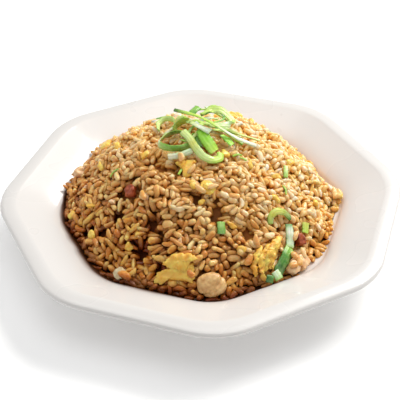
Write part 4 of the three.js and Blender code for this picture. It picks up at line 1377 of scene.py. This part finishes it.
# %% Where the heap is full and where it has holes
# The rice has settled a little below the solid's surface. It is lumpy at the scale of a few
# grains, and has some deep holes between clumps, whose places are named in millimetres.
SETTLED = 1.1
LUMP_SIZE = 8.0
LUMP_HEIGHT = 2.0
FOOT_INSIDE = 0.6
FOOT_LAYER = 1.8
HOLE_RADIUS = 3.2
HOLE_DEPTH = 8.0
HOLES = [
    (-35.5, -15.5), (-25.3, -7), (-21.2, -13.4), (-12.8, -16.7), (-40.3, -17.7), (-34.9, -22.9),
    (-44, -27.4), (-26.9, -40.2), (-52.2, -31.3), (-32.9, -48.1), (-23.1, -48.5), (-25.9, -57.8),
    (4.3, -37), (3.6, -42.2), (-59.9, -25.1), (-4.9, -33.4), (19.2, -47.4), (35, 20), (-20, 40),
    (12, 58), (-48, 26), (50, 8),
]

map_wanted = map_mound - SETTLED + LUMP_HEIGHT * noise_map(LUMP_SIZE, 3.3)
for x, y in HOLES:
    off = np.hypot(map_x - x, map_y - y) / HOLE_RADIUS
    map_wanted -= HOLE_DEPTH * np.exp(-off ** 2)
at_foot = map_mound > map_dish + FOOT_INSIDE
map_wanted = np.where(at_foot, np.maximum(map_wanted, map_dish + FOOT_LAYER), map_wanted)
print(len(HOLES), "holes in the heap")

# %% Underside and top of everything that lies in the rice
NOTHING = 1e3
UNDER_THE_DISH = -5.0
OVER_THE_HEAP = 100.0


def topping_maps():
    """Lowest and highest point of the toppings over each cell, or far off where there is none."""
    under = np.full((CELLS, CELLS), NOTHING)
    over = np.full((CELLS, CELLS), -NOTHING)
    for piece in toppings:
        shape = bmesh.new()
        shape.from_mesh(piece.data)
        tree = BVHTree.FromBMesh(shape)
        shape.free()
        corners = np.array([Vector(corner) for corner in piece.bound_box]) / MM
        first = np.floor(cells_at(corners.min(0))).astype(int)
        last = np.ceil(cells_at(corners.max(0))).astype(int)
        for row in range(first[1], last[1] + 1):
            for column in range(first[0], last[0] + 1):
                start = Vector((axis_mm[column], axis_mm[row], UNDER_THE_DISH)) * MM
                hit = tree.ray_cast(start, Vector((0, 0, 1)))[0]
                if hit is not None:
                    under[row, column] = min(under[row, column], hit.z / MM)
                    start.z = OVER_THE_HEAP * MM
                    top = tree.ray_cast(start, Vector((0, 0, -1)))[0]
                    over[row, column] = max(over[row, column], top.z / MM)
    return under, over


map_under, map_over = topping_maps()
print(int((map_under < NOTHING).sum()), "cells lie under toppings")

# %% Footprint of a grain
GRAIN_LENGTH = 6.6
GRAIN_WIDTH = 2.9
GRAIN_HEIGHT = 2.5
MOST_STEPS = int(GRAIN_LENGTH / 2 / CELL) + 3


def footprint(axes, half, row, column):
    """Cells a grain covers, and how far its underside and top are from its middle there."""
    metric = axes.T @ np.diag(1 / half ** 2) @ axes
    rows = slice(max(row - MOST_STEPS, 0), row + MOST_STEPS + 1)
    columns = slice(max(column - MOST_STEPS, 0), column + MOST_STEPS + 1)
    dx = map_x[rows, columns] - axis_mm[column]
    dy = map_y[rows, columns] - axis_mm[row]
    middle = metric[0, 2] * dx + metric[1, 2] * dy
    plan = metric[0, 0] * dx ** 2 + 2 * metric[0, 1] * dx * dy + metric[1, 1] * dy ** 2 - 1
    under_root = middle ** 2 - metric[2, 2] * plan
    inside = under_root > 0
    root = np.sqrt(np.where(inside, under_root, 0))
    return rows, columns, inside, (-middle - root) / metric[2, 2], (-middle + root) / metric[2, 2]


print("a grain covers up to", 2 * MOST_STEPS + 1, "cells each way")

# %% Drop the grains
GRAIN_TRIES = 30000
PLACES_TRIED = 8
HEADINGS_TRIED = 3
SMALLEST_GAP = 0.25
TOO_HIGH = 0.8
HALF_COUNTED = 0.9
GRAIN_SQUASH = 0.85
BEARING_SHARE = 0.8
TOPPING_CLEAR = 0.15
TOPPING_CELLS = 2
PAST_THE_FOOT = 0.6
FOOT_HEIGHT = 3
FOOT_FLATNESS = 1.5
HEADING_SIZE = 15.0
HEADING_SWING = 7.0
HEADING_SCATTER = 0.8
PITCH_SCATTER = 0.5
ROLL_SCATTER = 0.8
SIZE_SCATTER = 0.13
dice = np.random.default_rng(20317)


def slope_at(row, column):
    """The heap's normal, turned up towards the dish's flatness at the foot."""
    slope = map_slope[row, column]
    if map_mound[row, column] - map_dish[row, column] < FOOT_HEIGHT:
        slope = slope + np.array([0, 0, FOOT_FLATNESS])
        slope = slope / np.linalg.norm(slope)
    return slope


def rest_height(rows, columns, inside, below):
    """Height at which most of a grain's underside has met what lies there."""
    bearing = np.sort((map_filled[rows, columns] - below)[inside])
    height = bearing[int(BEARING_SHARE * (len(bearing) - 1))] - GRAIN_SQUASH
    return max(height, (map_dish[rows, columns] - below)[inside].max())


def lay_grain(row, column, axes, half, height, cover):
    """Raises the map by a grain, and gives the grain's middle, axes and half sizes."""
    rows, columns, inside, _, above = cover
    raised = np.maximum(map_filled[rows, columns], height + above)
    map_filled[rows, columns] = np.where(inside, raised, map_filled[rows, columns])
    return np.array([axis_mm[column], axis_mm[row], height]), axes, half


def meets_topping(height, cover):
    rows, columns, inside, _, above = cover
    crossed = inside & (height + above > map_under[rows, columns] + TOPPING_CLEAR)
    return crossed.sum() > TOPPING_CELLS


def drop_grains():
    heading_map = HEADING_SWING * noise_map(HEADING_SIZE, 9.1)
    heap_rows, heap_columns = np.nonzero(map_mound > map_dish - PAST_THE_FOOT)
    steepness = 1 / map_slope[heap_rows, heap_columns, 2]
    chance = np.cumsum(steepness) / steepness.sum()
    laid = []
    for _ in range(GRAIN_TRIES):
        picks = np.searchsorted(chance, dice.uniform(size=PLACES_TRIED))
        rows_tried, columns_tried = heap_rows[picks], heap_columns[picks]
        gaps = map_wanted[rows_tried, columns_tried] - map_filled[rows_tried, columns_tried]
        row, column = rows_tried[np.argmax(gaps)], columns_tried[np.argmax(gaps)]
        size = dice.normal(1, SIZE_SCATTER)
        length = GRAIN_LENGTH * dice.normal(1, SIZE_SCATTER)
        half = np.array([length, GRAIN_WIDTH * size, GRAIN_HEIGHT * size]) / 2
        turns = heading_map[row, column] + dice.normal(0, HEADING_SCATTER, HEADINGS_TRIED)
        pitches = dice.normal(0, PITCH_SCATTER, HEADINGS_TRIED)
        roll = dice.normal(0, ROLL_SCATTER)
        if gaps.max() < SMALLEST_GAP:
            continue
        best = None
        for turn, pitch in zip(turns, pitches):
            axes = lay_axes(slope_at(row, column), turn, pitch, roll)
            cover = footprint(axes, half, row, column)
            height = rest_height(*cover[:4])
            if best is None or height < best[0]:
                best = (height, axes, cover)
        height, axes, cover = best
        if height + half[2] > map_wanted[row, column] + TOO_HIGH + half[2] * HALF_COUNTED:
            continue
        if not meets_topping(height, cover):
            laid.append(lay_grain(row, column, axes, half, height, cover))
    return laid


grains = drop_grains()
print(len(grains), "grains came to rest")

# %% Strays
# A few grains came to lie on the egg, the scallop and the dice, and a small clump of them sticks
# out at the right. Each falls onto whatever is there, so it never hangs in the air.
STRAYS = [
    (-28.7, -57.6, 30), (-24.5, -56, 150), (-10.4, -66, 120), (41.8, -53.4, 140), (43.6, -56.4, 80),
    (39.8, -59.6, 10), (46, -50.4, 120), (17.7, -59.8, 70), (22.4, -52.3, 110), (29.6, -47.6, 20),
    (-41.9, -58.9, 130), (-38.6, -56.8, 30), (-34.1, -17.1, 40), (-31.3, -29, 100), (43.6, -41.8, 70),
    (2.9, -31.9, 20), (-3.3, -32.1, 130), (-11.5, -13.5, 100), (-6.4, -19, 40),
    (70.2, -1.4, 30), (72.4, -3.6, 120), (70.8, -6.2, 80), (73, -0.6, 160), (71.6, -3, 60),
    (73.8, -2.6, 100), (70.4, -9.6, 20), (69.4, 2.2, 140), (72.2, -5, 10), (71, -2, 110),
]
STRAY_PITCH = 0.15


def lay_strays():
    laid = []
    for x, y, heading in STRAYS:
        column, row = int(cells_at(x)), int(cells_at(y))
        half = np.array([GRAIN_LENGTH, GRAIN_WIDTH, GRAIN_HEIGHT]) / 2 * dice.normal(1, SIZE_SCATTER / 2)
        axes = lay_axes(slope_at(row, column), heading * DEGREE, dice.normal(0, STRAY_PITCH))
        cover = footprint(axes, half, row, column)
        laid.append(lay_grain(row, column, axes, half, rest_height(*cover[:4]), cover))
    return laid


map_rice = map_filled.copy()
map_filled = np.maximum(map_filled, map_over)
grains += lay_strays()
print(len(STRAYS), "strays on top")

# %% Crowns of the grains
# The tops of the grains around each place, measured square to the heap's slope. What lies below
# them is a flank or a gap, which the rice's finish darkens as painted shade.
CROWN_REACH = 6
CROWN_SMOOTHING = 4


def spread(table, step, measure):
    """The largest or the mean of the cells round each cell, along the rows and then the columns."""
    for axis in (0, 1):
        table = measure([np.roll(table, shift, axis) for shift in range(-step, step + 1)], 0)
    return table


map_proud = (map_rice - map_mound) * map_slope[..., 2]
map_crowns = spread(spread(map_proud, CROWN_REACH, np.max), CROWN_SMOOTHING, np.mean)
print("crowns stand", round(float(np.median(map_crowns[at_foot])), 1), "mm above the solid's surface")

# %% [markdown]
# ## The shape of a grain
#
# A cooked grain is a plump little log: blunt at one end, narrower at the other, slightly bent,
# with faint ridges along it and a nick where the germ was. One such grain is made as rings of
# points in a unit box, and every grain of the heap is a copy, stretched to its own size, bent its
# own way and set on its own axes. Copies are joined into four meshes, one for each kind: whole
# grains, plump ones, slim ones, and short ones that broke in the wok.

# %% One grain
RINGS = 9
RING_SIDES = 9
RIDGES = 3
FORMS_EACH = 4
FORM_NOISE = 0.26
FORM_NOISE_LENGTH = 1.6
NARROWING = 0.08
THIN_SIDE_POWER = 1.5


def grain_form(bluntness, ridge, nick, seed):
    """Points of a grain in a unit box, x along it, and its faces."""
    points, thinness = [(-1.0, 0.0, 0.0)], [1.0]
    for ring in range(1, RINGS):
        along = -math.cos(math.pi * ring / RINGS)
        girth = (1 - abs(along) ** bluntness) ** 0.5 * (1 - NARROWING * along)
        for side in range(RING_SIDES):
            turn = 2 * math.pi * side / RING_SIDES
            across, up = math.cos(turn), math.sin(turn)
            swell = 1 + ridge * math.cos(RIDGES * turn)
            dent = nick * max(0.0, along) ** 2 * max(0.0, across) ** 2
            rough = noise.noise(Vector((FORM_NOISE_LENGTH * along, across, up)) + Vector((seed, 0, 0)))
            reach = girth * (swell - dent + FORM_NOISE * rough)
            points.append((along, reach * across, reach * up))
            thinness.append(max(abs(along), abs(across) ** THIN_SIDE_POWER))
    points.append((1.0, 0.0, 0.0))
    thinness.append(1.0)
    faces = turned(closed_form(0, 1, RINGS - 1, RING_SIDES, len(points) - 1))
    return np.array(points), faces, np.array(thinness)


# Bluntness, ridge, nick, length and girth, and the share of all grains.
KINDS = {
    "grains_whole": (3.2, 0.08, 0.22, 1.0, 1.0, 0.28),
    "grains_plump": (3.6, 0.06, 0.14, 0.95, 1.1, 0.28),
    "grains_slim": (2.8, 0.1, 0.3, 1.04, 0.93, 0.2),
    "grains_broken": (4.2, 0.09, 0.35, 0.72, 0.98, 0.24),
}
forms = {
    name: [grain_form(*shape[:3], 10 * number) for number in range(FORMS_EACH)]
    for name, shape in KINDS.items()
}
print("a grain has", len(forms["grains_whole"][0][1]), "triangles")

# %% Join the copies
GRAIN_BEND = 0.2
BEND_MIDDLE = 0.4
SOAKED_AND_SHADED_HEIGHT = 6.0
SOAKED_AND_SHADED_SHARE = 0.8
DEEP_MM = 3.2


def shade_between_crowns(points):
    """How much painted shade a point gets: 0 on the crowns of the grains, 1 deep between them, and up to 0.8
    low at the foot, where it stands for soy and shade.
    """
    columns, rows = np.clip(cells_at(points[:, :2]).astype(int), 0, CELLS - 1).T
    proud = (points[:, 2] - mound_height(points[:, 0], points[:, 1])) * map_slope[rows, columns, 2]
    over_dish = points[:, 2] - dish_surface(points[:, 0], points[:, 1])
    # Painted shade and soy at the foot: grains low over the dish are darker.
    soaked_and_shaded = SOAKED_AND_SHADED_SHARE * np.clip(1 - over_dish / SOAKED_AND_SHADED_HEIGHT, 0, 1)
    return np.maximum(np.clip((map_crowns[rows, columns] - proud) / DEEP_MM, 0, 1), soaked_and_shaded)


def join_grains(name, members):
    length, girth = KINDS[name][3:5]
    parts = []
    for number, (middle, axes, half) in enumerate(members):
        unit, faces, thinness = forms[name][number % FORMS_EACH]
        bend = dice.normal(0, GRAIN_BEND) * half[1]
        local = unit * half * np.array([length, girth, girth])
        local[:, 1] += bend * (unit[:, 0] ** 2 - BEND_MIDDLE) * 2
        parts.append((middle + local @ axes, faces, np.full(len(unit), dice.uniform()), thinness))
    points, faces, tone, edge = join_parts(parts)
    values = {"tone": tone, "edge": edge, "depth": shade_between_crowns(points)}
    return make_mesh(name, points, faces, values)


chosen = dice.choice(list(KINDS), len(grains), p=[shape[5] for shape in KINDS.values()])
grain_meshes = {
    name: join_grains(name, [grain for grain, kind in zip(grains, chosen) if kind == name])
    for name in KINDS
}
for name, mesh in grain_meshes.items():
    print(name, len(mesh.polygons), "triangles")

# %% [markdown]
# Fried rice is never one colour. Each grain took up its own share of soy, so a random tone picks
# its place on two ramps, a pale one and a golden one, and the soy-and-shade group mixes them: most
# gold where the soy ran, on the near left side, which is also painted shade there, and palest on
# the far right, which is partly painted light. The edges and ends of a grain, where it is thin, are
# painted paler than its glassy middle, for the light that shines through them. The crowns of the
# grains stay pale, their flanks are painted brown and the gaps between them darkest: this is
# painted shade between the grains, and at the foot it is soy and shade together. How deep a point
# lies was stored on it above. Light goes some way into cooked starch, so there is subsurface
# scattering, and spots where the oil lies thicker are smoother and give small bright highlights.

# %% Rice finish
def rice_finish():
    finish, tree, shader = new_finish("fried rice")
    tone = read_value(tree, "tone")
    pale = add_ramp(tree, tone, [
        (0.0, paint(255, 200, 132)), (0.35, paint(255, 214, 164)),
        (0.7, paint(255, 228, 198)), (1.0, paint(255, 240, 226)),
    ])
    gold = add_ramp(tree, tone, [
        (0.0, paint(204, 122, 36)), (0.35, paint(228, 160, 62)),
        (0.7, paint(242, 184, 86)), (1.0, paint(254, 214, 126)),
    ])
    # Gold where the soy-and-shade mask is high: soy, plus painted shade on the near left side. The near-white
    # pale ramp on the far right is partly painted light.
    soy = use_group(tree, soy_and_shade, {"Patch mm": 22.0, "Unevenness": 0.6})
    base = mix_colours(tree, soy["Mask"], pale, gold)
    coated = use_group(tree, mottle, {"Size mm": 15.0, "Sharpness": 0.12, "Detail": 2.0})
    coat = rescale(tree, coated["Mask"], 0.5, 1.0, 0.0, 0.25)
    eggy = mix_colours(tree, coat, base, paint(240, 178, 76))
    glassy = use_group(tree, mottle, {"Size mm": 2.2, "Sharpness": 0.25, "Detail": 2.0})
    clear = rescale(tree, glassy["Mask"], 0.2, 0.8, 0.0, 0.4)
    veil = mix_colours(tree, soy["Mask"], paint(255, 216, 164), paint(204, 136, 64))
    veiled = mix_colours(tree, clear, eggy, veil, "MULTIPLY")
    # Painted light: the thin edges and ends of a grain are painted paler for the light that shines through
    # them.
    thin = rescale(tree, read_value(tree, "edge"), 0.6, 1.0, 0.0, 0.25)
    edge_lit = mix_colours(tree, thin, veiled, paint(255, 222, 150))
    # Painted shade: below the crowns the flanks are painted brown and the gaps between grains darkest.
    depth = read_value(tree, "depth")
    flank_shade = mix_colours(tree, soy["Mask"], paint(255, 194, 104), paint(176, 92, 14))
    low = rescale(tree, depth, 0.15, 0.55, 0.0, 0.75)
    flank_shaded = mix_colours(tree, low, edge_lit, flank_shade)
    gaps = mix_colours(tree, soy["Mask"], paint(255, 186, 88), paint(110, 36, 2))
    deep = rescale(tree, depth, 0.5, 1.0, 0.0, 0.9)
    oil = use_group(tree, oil_film, {"Spot mm": 4.0, "Dry": 0.3, "Oily": 0.12})
    skin = use_group(tree, mottle, {"Size mm": 1.3, "Sharpness": 0.3, "Detail": 2.0})
    set_inputs(tree, shader, {
        "Base Color": mix_colours(tree, deep, flank_shaded, gaps),
        "Roughness": oil["Roughness"],
        "Normal": add_bump(tree, skin["Height"], 0.5, 0.5),
        "Subsurface Weight": 0.6,
        "Subsurface Radius": (1.0, 0.66, 0.36),
        "Subsurface Scale": 5.0 * MM,
        "Specular IOR Level": 0.36,
    })
    return finish


rice = rice_finish()
print("finish", rice.name)

# %% Finish of the core
def core_finish():
    finish, tree, shader = new_finish("rice in shadow")
    patches = use_group(tree, mottle, {"Size mm": 3.0, "Sharpness": 0.3, "Detail": 3.0})
    pale = mix_colours(tree, patches["Mask"], paint(200, 122, 52), paint(232, 156, 80))
    brown = mix_colours(tree, patches["Mask"], paint(46, 14, 3), paint(96, 38, 8))
    soy = use_group(tree, soy_and_shade, {"Patch mm": 22.0, "Unevenness": 0.6})
    wet = use_group(tree, oil_film, {"Spot mm": 6.0, "Dry": 0.8, "Oily": 0.5})
    set_inputs(tree, shader, {
        "Base Color": mix_colours(tree, soy["Mask"], pale, brown),
        "Roughness": wet["Roughness"],
        "Specular IOR Level": 0.1,
    })
    return finish


core = add_piece("rice_core", core_form, core_finish(), "rice", "rice")
for name, mesh in grain_meshes.items():
    add_piece(name, mesh, rice, "rice", "rice")

# %% [markdown]
# ## Crumbs
#
# Small bits of egg no bigger than a grain or two sit all over the heap, with crumbs of meat and
# wisps of onion green between them. In the solids they are part of the rice's relief. Here each
# egg or meat crumb is a small torn flap on its own, and each wisp a short narrow strip.

# %% Crumbs of egg and meat
EGG_CRUMBS = [
    (11.3, -9.4), (-39.6, -45.7), (11, -45.4), (14.2, -55.2), (-58.5, -13), (-52.8, 11.2), (-29.6, -3.3),
    (-43.4, 17.8), (-69, -8.6), (23.3, -13.5), (37.2, -12.4), (46, -1.3), (72.2, -4), (-14, 60), (30, 34),
    (-34, 44), (56, 24), (12, 40), (-58, -30), (58, -16), (34.6, -29), (-3.1, -35.9), (-6.8, -28.4),
]
MEAT_CRUMBS = [
    (-47, -20), (-30, -30), (-15, -52), (8, -24), (28, -24), (54, -24), (-62, 4), (24, -60), (44, 22),
    (-6, 46), (-40, 30), (60, 4),
]
CRUMB_CORNERS = 7
CRUMB_ARMS = (0.55, 1.25)
CRUMB_WIDTH = 0.7
CRUMB_TILT = 0.2
CRUMB_CREASES = 0.5


def add_crumbs(name, spots, reach, thickness, lift, finish, slot):
    parts = []
    for number, (x, y) in enumerate(spots):
        turns = np.arange(CRUMB_CORNERS) * 2 * math.pi / CRUMB_CORNERS
        arms = reach * dice.uniform(*CRUMB_ARMS, CRUMB_CORNERS)
        outline = np.stack([arms * np.cos(turns), CRUMB_WIDTH * arms * np.sin(turns)], 1)
        axes = seat_axes(x, y, dice.uniform(0, math.pi), CRUMB_TILT, CRUMB_TILT)
        parts.append(flap(outline, thickness, 0, axes, on_mound(x, y, lift), CRUMB_CREASES, number, number))
    points, faces, folds = join_parts(parts)
    mesh = make_mesh(name, points, faces, {"fold": folds})
    add_piece(name, mesh, finish, slot)
    print(name, len(faces), "triangles")


add_crumbs("egg_crumbs", EGG_CRUMBS, 2.9, 2.4, 0.2, egg, "egg")
add_crumbs("meat_crumbs", MEAT_CRUMBS, 2.0, 2.2, 0.1, pork, "pork")

# %% Wisps of green
WISPS = [
    (17, -9.5, 20), (20.5, -12, -35), (-12, -18, 60), (40, -22, 100), (-45, -4, 10), (34, -58, 40),
    (14, 34, 0),
]
WISP_LENGTH = 5.0
WISP_WIDTH = 1.3
WISP_THICKNESS = 0.7


def wisp(x, y, heading, seed):
    dx = WISP_LENGTH / 2 * math.cos(heading * DEGREE)
    dy = WISP_LENGTH / 2 * math.sin(heading * DEGREE)
    route = [(x - dx, y - dy, 0.4), (x, y, 1.1), (x + dx, y + dy, 0.3)]
    return strip(route, WISP_WIDTH, WISP_THICKNESS, steps=12, wide=4, seed=seed)


wisp_form = strips_mesh("green_wisps", [
    (wisp(*place, seed + 60), [LIME, GRASS], [PALE, PALE]) for seed, place in enumerate(WISPS)
])
wisps = add_piece("green_wisps", wisp_form, leaf, "spring_onion")
print(wisps.name, len(wisp_form.polygons), "triangles")

# %% [markdown]
# ## Sauce and painted shadow at the foot
#
# Soy and oil drained out of the heap and stand as a dark, glossy stain where rice meets china.
# The film is also painted shadow: it is widest at the front left, the side away from the window
# light, where the heap's contact shadow falls. It is a film under half a millimetre thick that
# follows the dish, from under the grains to a little way beyond the last of them. So its edge is
# worked out from where the grains came to rest. Its colour fades through Alpha, because sauce that
# thin lets the china show, and a hard edge would look like a drawn line.

# %% How far the grains reach
SAUCE_AROUND = 360
REACH_WIDENING = 3
REACH_SMOOTHING = 9


def grains_reach():
    """Distance of the outermost grains from the heap's middle, all round, smoothed."""
    spots = np.array([middle[:2] for middle, _, _ in grains]) - (MOUND_X, MOUND_Y)
    sector = (np.arctan2(spots[:, 1], spots[:, 0]) % (2 * math.pi) / (2 * math.pi) * SAUCE_AROUND).astype(int)
    reach = np.zeros(SAUCE_AROUND)
    np.maximum.at(reach, sector % SAUCE_AROUND, np.hypot(*spots.T) + GRAIN_WIDTH / 2)
    widest = np.max([np.roll(reach, step) for step in range(-REACH_WIDENING, REACH_WIDENING + 1)], 0)
    return np.mean([np.roll(widest, step) for step in range(-REACH_SMOOTHING, REACH_SMOOTHING + 1)], 0)


rice_reach = grains_reach()
print("the grains reach", round(rice_reach.min(), 1), "to", round(rice_reach.max(), 1), "mm out")

# %% Height of the china
china_form = bmesh.new()
china_form.from_mesh(dish.data)
china = BVHTree.FromBMesh(china_form)
china_form.free()


def china_height(x, y):
    """Height of the dish's own faces at each place, found by a ray from above."""
    spots = np.stack([x, y, np.full(len(x), OVER_THE_HEAP)], 1)
    hits = [china.ray_cast(Vector(spot) * MM, Vector((0, 0, -1)))[0] for spot in spots]
    return np.array([hit.z / MM for hit in hits])


print("the well is", round(float(china_height([0], [0])[0]), 1), "mm over the table")

# %% Film of sauce and painted shadow
SAUCE_UNDER = 11.0
SAUCE_THICKNESS = 0.4
SAUCE_EDGE = 0.04
SAUCE_BASE = -0.3
SAUCE_HIDDEN = 2.0
SHADOW_AND_SAUCE_MOST = 5.0
SAUCE_LEAST = 0.1
SHADOW_AND_SAUCE_MIDDLE = 225 * DEGREE
SHADOW_AND_SAUCE_SPREAD = 58 * DEGREE
SAUCE_UNEVEN = 0.5
SAUCE_TONGUES = 9
SAUCE_SHARES = np.array([0, 0.25, 0.5, 0.65, 0.75, 0.83, 0.9, 0.95, 1.0])


def sauce_and_shadow_mesh():
    azimuth = (np.arange(SAUCE_AROUND) + 0.5) * 2 * math.pi / SAUCE_AROUND
    off = np.arctan2(np.sin(azimuth - SHADOW_AND_SAUCE_MIDDLE), np.cos(azimuth - SHADOW_AND_SAUCE_MIDDLE))
    # Widest at the front left, where the sauce pooled and where the heap's painted contact shadow falls.
    pooled_and_shaded = np.exp(-(off / SHADOW_AND_SAUCE_SPREAD) ** 2)
    ways = np.stack([np.cos(azimuth), np.sin(azimuth)], 1)
    tongues = [1 + SAUCE_UNEVEN * noise.noise(Vector((x, y, 0)) * SAUCE_TONGUES) for x, y in ways]
    reach = SHADOW_AND_SAUCE_MOST * pooled_and_shaded * tongues
    end = rice_reach + reach - SAUCE_HIDDEN * (1 - pooled_and_shaded)
    start = end - SAUCE_UNDER

    def ring(share, lift):
        out = start + (end - start) * share
        x, y = MOUND_X + out * ways[:, 0], MOUND_Y + out * ways[:, 1]
        spots = np.stack([x, y, china_height(x, y) + lift], 1)
        return spots, np.clip((out - rice_reach) / (reach + SAUCE_LEAST), 0, 1)

    over = [ring(share, SAUCE_THICKNESS * (1 - share ** 3) + SAUCE_EDGE) for share in SAUCE_SHARES]
    under = [ring(share, SAUCE_BASE) for share in SAUCE_SHARES[::-1]]
    rings = len(over) + len(under)
    points = np.vstack([spots for spots, _ in over + under])
    thin = np.concatenate([value for _, value in over] + [np.ones(len(under) * SAUCE_AROUND)])
    bands = [band(one * SAUCE_AROUND, (one + 1) % rings * SAUCE_AROUND, SAUCE_AROUND) for one in range(rings)]
    return make_mesh("sauce_and_shadow_film", points, np.vstack(bands), {"thin": thin})


sauce_and_shadow_form = sauce_and_shadow_mesh()
print("sauce:", len(sauce_and_shadow_form.polygons), "triangles")

# %% Finish of the sauce and painted shadow
SAUCE_COVER = [(0.0, 0.94), (0.25, 0.75), (0.6, 0.22), (1.0, 0.0)]


def sauce_and_shadow_finish():
    finish, tree, shader = new_finish("soy and oil with painted shadow")
    thin = read_value(tree, "thin")
    oil = use_group(tree, oil_film, {"Spot mm": 7.0, "Dry": 0.3, "Oily": 0.16})
    set_inputs(tree, shader, {
        # Dark brown where the film is thick: sauce, and painted shadow at the heap's foot.
        "Base Color": mix_colours(tree, thin, paint(58, 28, 10), paint(150, 96, 52)),
        "Alpha": add_ramp(tree, thin, [(place, (grey, grey, grey, 1)) for place, grey in SAUCE_COVER]),
        "Roughness": oil["Roughness"],
        "Specular IOR Level": 0.2,
    })
    return finish


sauce = add_piece("sauce_and_shadow_film", sauce_and_shadow_form, sauce_and_shadow_finish(), "rice")
print("piece", sauce.name, "has the finish", sauce.active_material.name)

# %% [markdown]
# ## Floor and light
#
# The plate stands on a plain pale surface. One large soft light comes from behind on the right
# and high up, as a window would, and makes the heap bright on that side and the dish bright on
# the other. A small lamp beside it puts the fine highlights on oily grains. Wide panels over the
# table and on the left, and a soft white sky, fill the rest.

# %% Floor
# A little light of its own keeps the plate's shadow as pale as on a lit paper table.
FLOOR_GLOW = 0.12
FLOOR_HALF = 2500.0


def floor_finish():
    finish, tree, shader = new_finish("pale floor")
    patches = use_group(tree, mottle, {"Size mm": 400.0, "Sharpness": 0.3, "Detail": 1.0})
    set_inputs(tree, shader, {
        "Base Color": mix_colours(tree, patches["Mask"], paint(253, 253, 253), paint(255, 255, 255)),
        "Roughness": 0.9,
        "Specular IOR Level": 0.1,
        "Emission Color": (1, 1, 1, 1),
        "Emission Strength": FLOOR_GLOW,
    })
    return finish


floor_corners = [(x * FLOOR_HALF, y * FLOOR_HALF, 0) for x, y in ((-1, -1), (1, -1), (1, 1), (-1, 1))]
floor = bpy.data.objects.new("floor", make_mesh("floor", floor_corners, [(0, 1, 2, 3)]))
floor.data.materials.append(floor_finish())
bpy.context.scene.collection.objects.link(floor)
print("floor", 2 * FLOOR_HALF * MM, "m wide")

# %% Lights
# Azimuth and elevation in degrees, distance and size in metres, watts and colour.
LAMPS = {
    "window": (50, 42, 1.5, 0.8, 19, (1.0, 0.985, 0.95)),
    "sparkle": (44, 50, 1.5, 0.22, 3, (1.0, 0.99, 0.96)),
    "ceiling": (0, 88, 1.6, 1.5, 9, (1.0, 1.0, 1.0)),
    "fill": (-80, 32, 1.5, 1.4, 3, (1.0, 1.0, 1.0)),
}
SKY = 0.35


def add_light(name, azimuth, elevation, distance, size, watts, colour):
    data = bpy.data.lights.new(name, "AREA")
    data.shape = "SQUARE"
    data.size = size
    data.energy = watts
    data.color = colour
    lamp = bpy.data.objects.new(name, data)
    around, up = azimuth * DEGREE, elevation * DEGREE
    way = Vector((math.sin(around) * math.cos(up), math.cos(around) * math.cos(up), math.sin(up)))
    lamp.location = way * distance
    lamp.rotation_mode = "QUATERNION"
    lamp.rotation_quaternion = way.to_track_quat("Z", "Y")
    bpy.context.scene.collection.objects.link(lamp)
    return lamp


lamps = [add_light(name, *settings) for name, settings in LAMPS.items()]
world = bpy.data.worlds.new("white room")
world.use_nodes = True
sky = world.node_tree.nodes["Background"]
set_inputs(world.node_tree, sky, {"Color": (1, 1, 1, 1), "Strength": SKY})
bpy.context.scene.world = world
bpy.context.scene.view_settings.view_transform = "Standard"
print("lights:", [lamp.name for lamp in lamps])
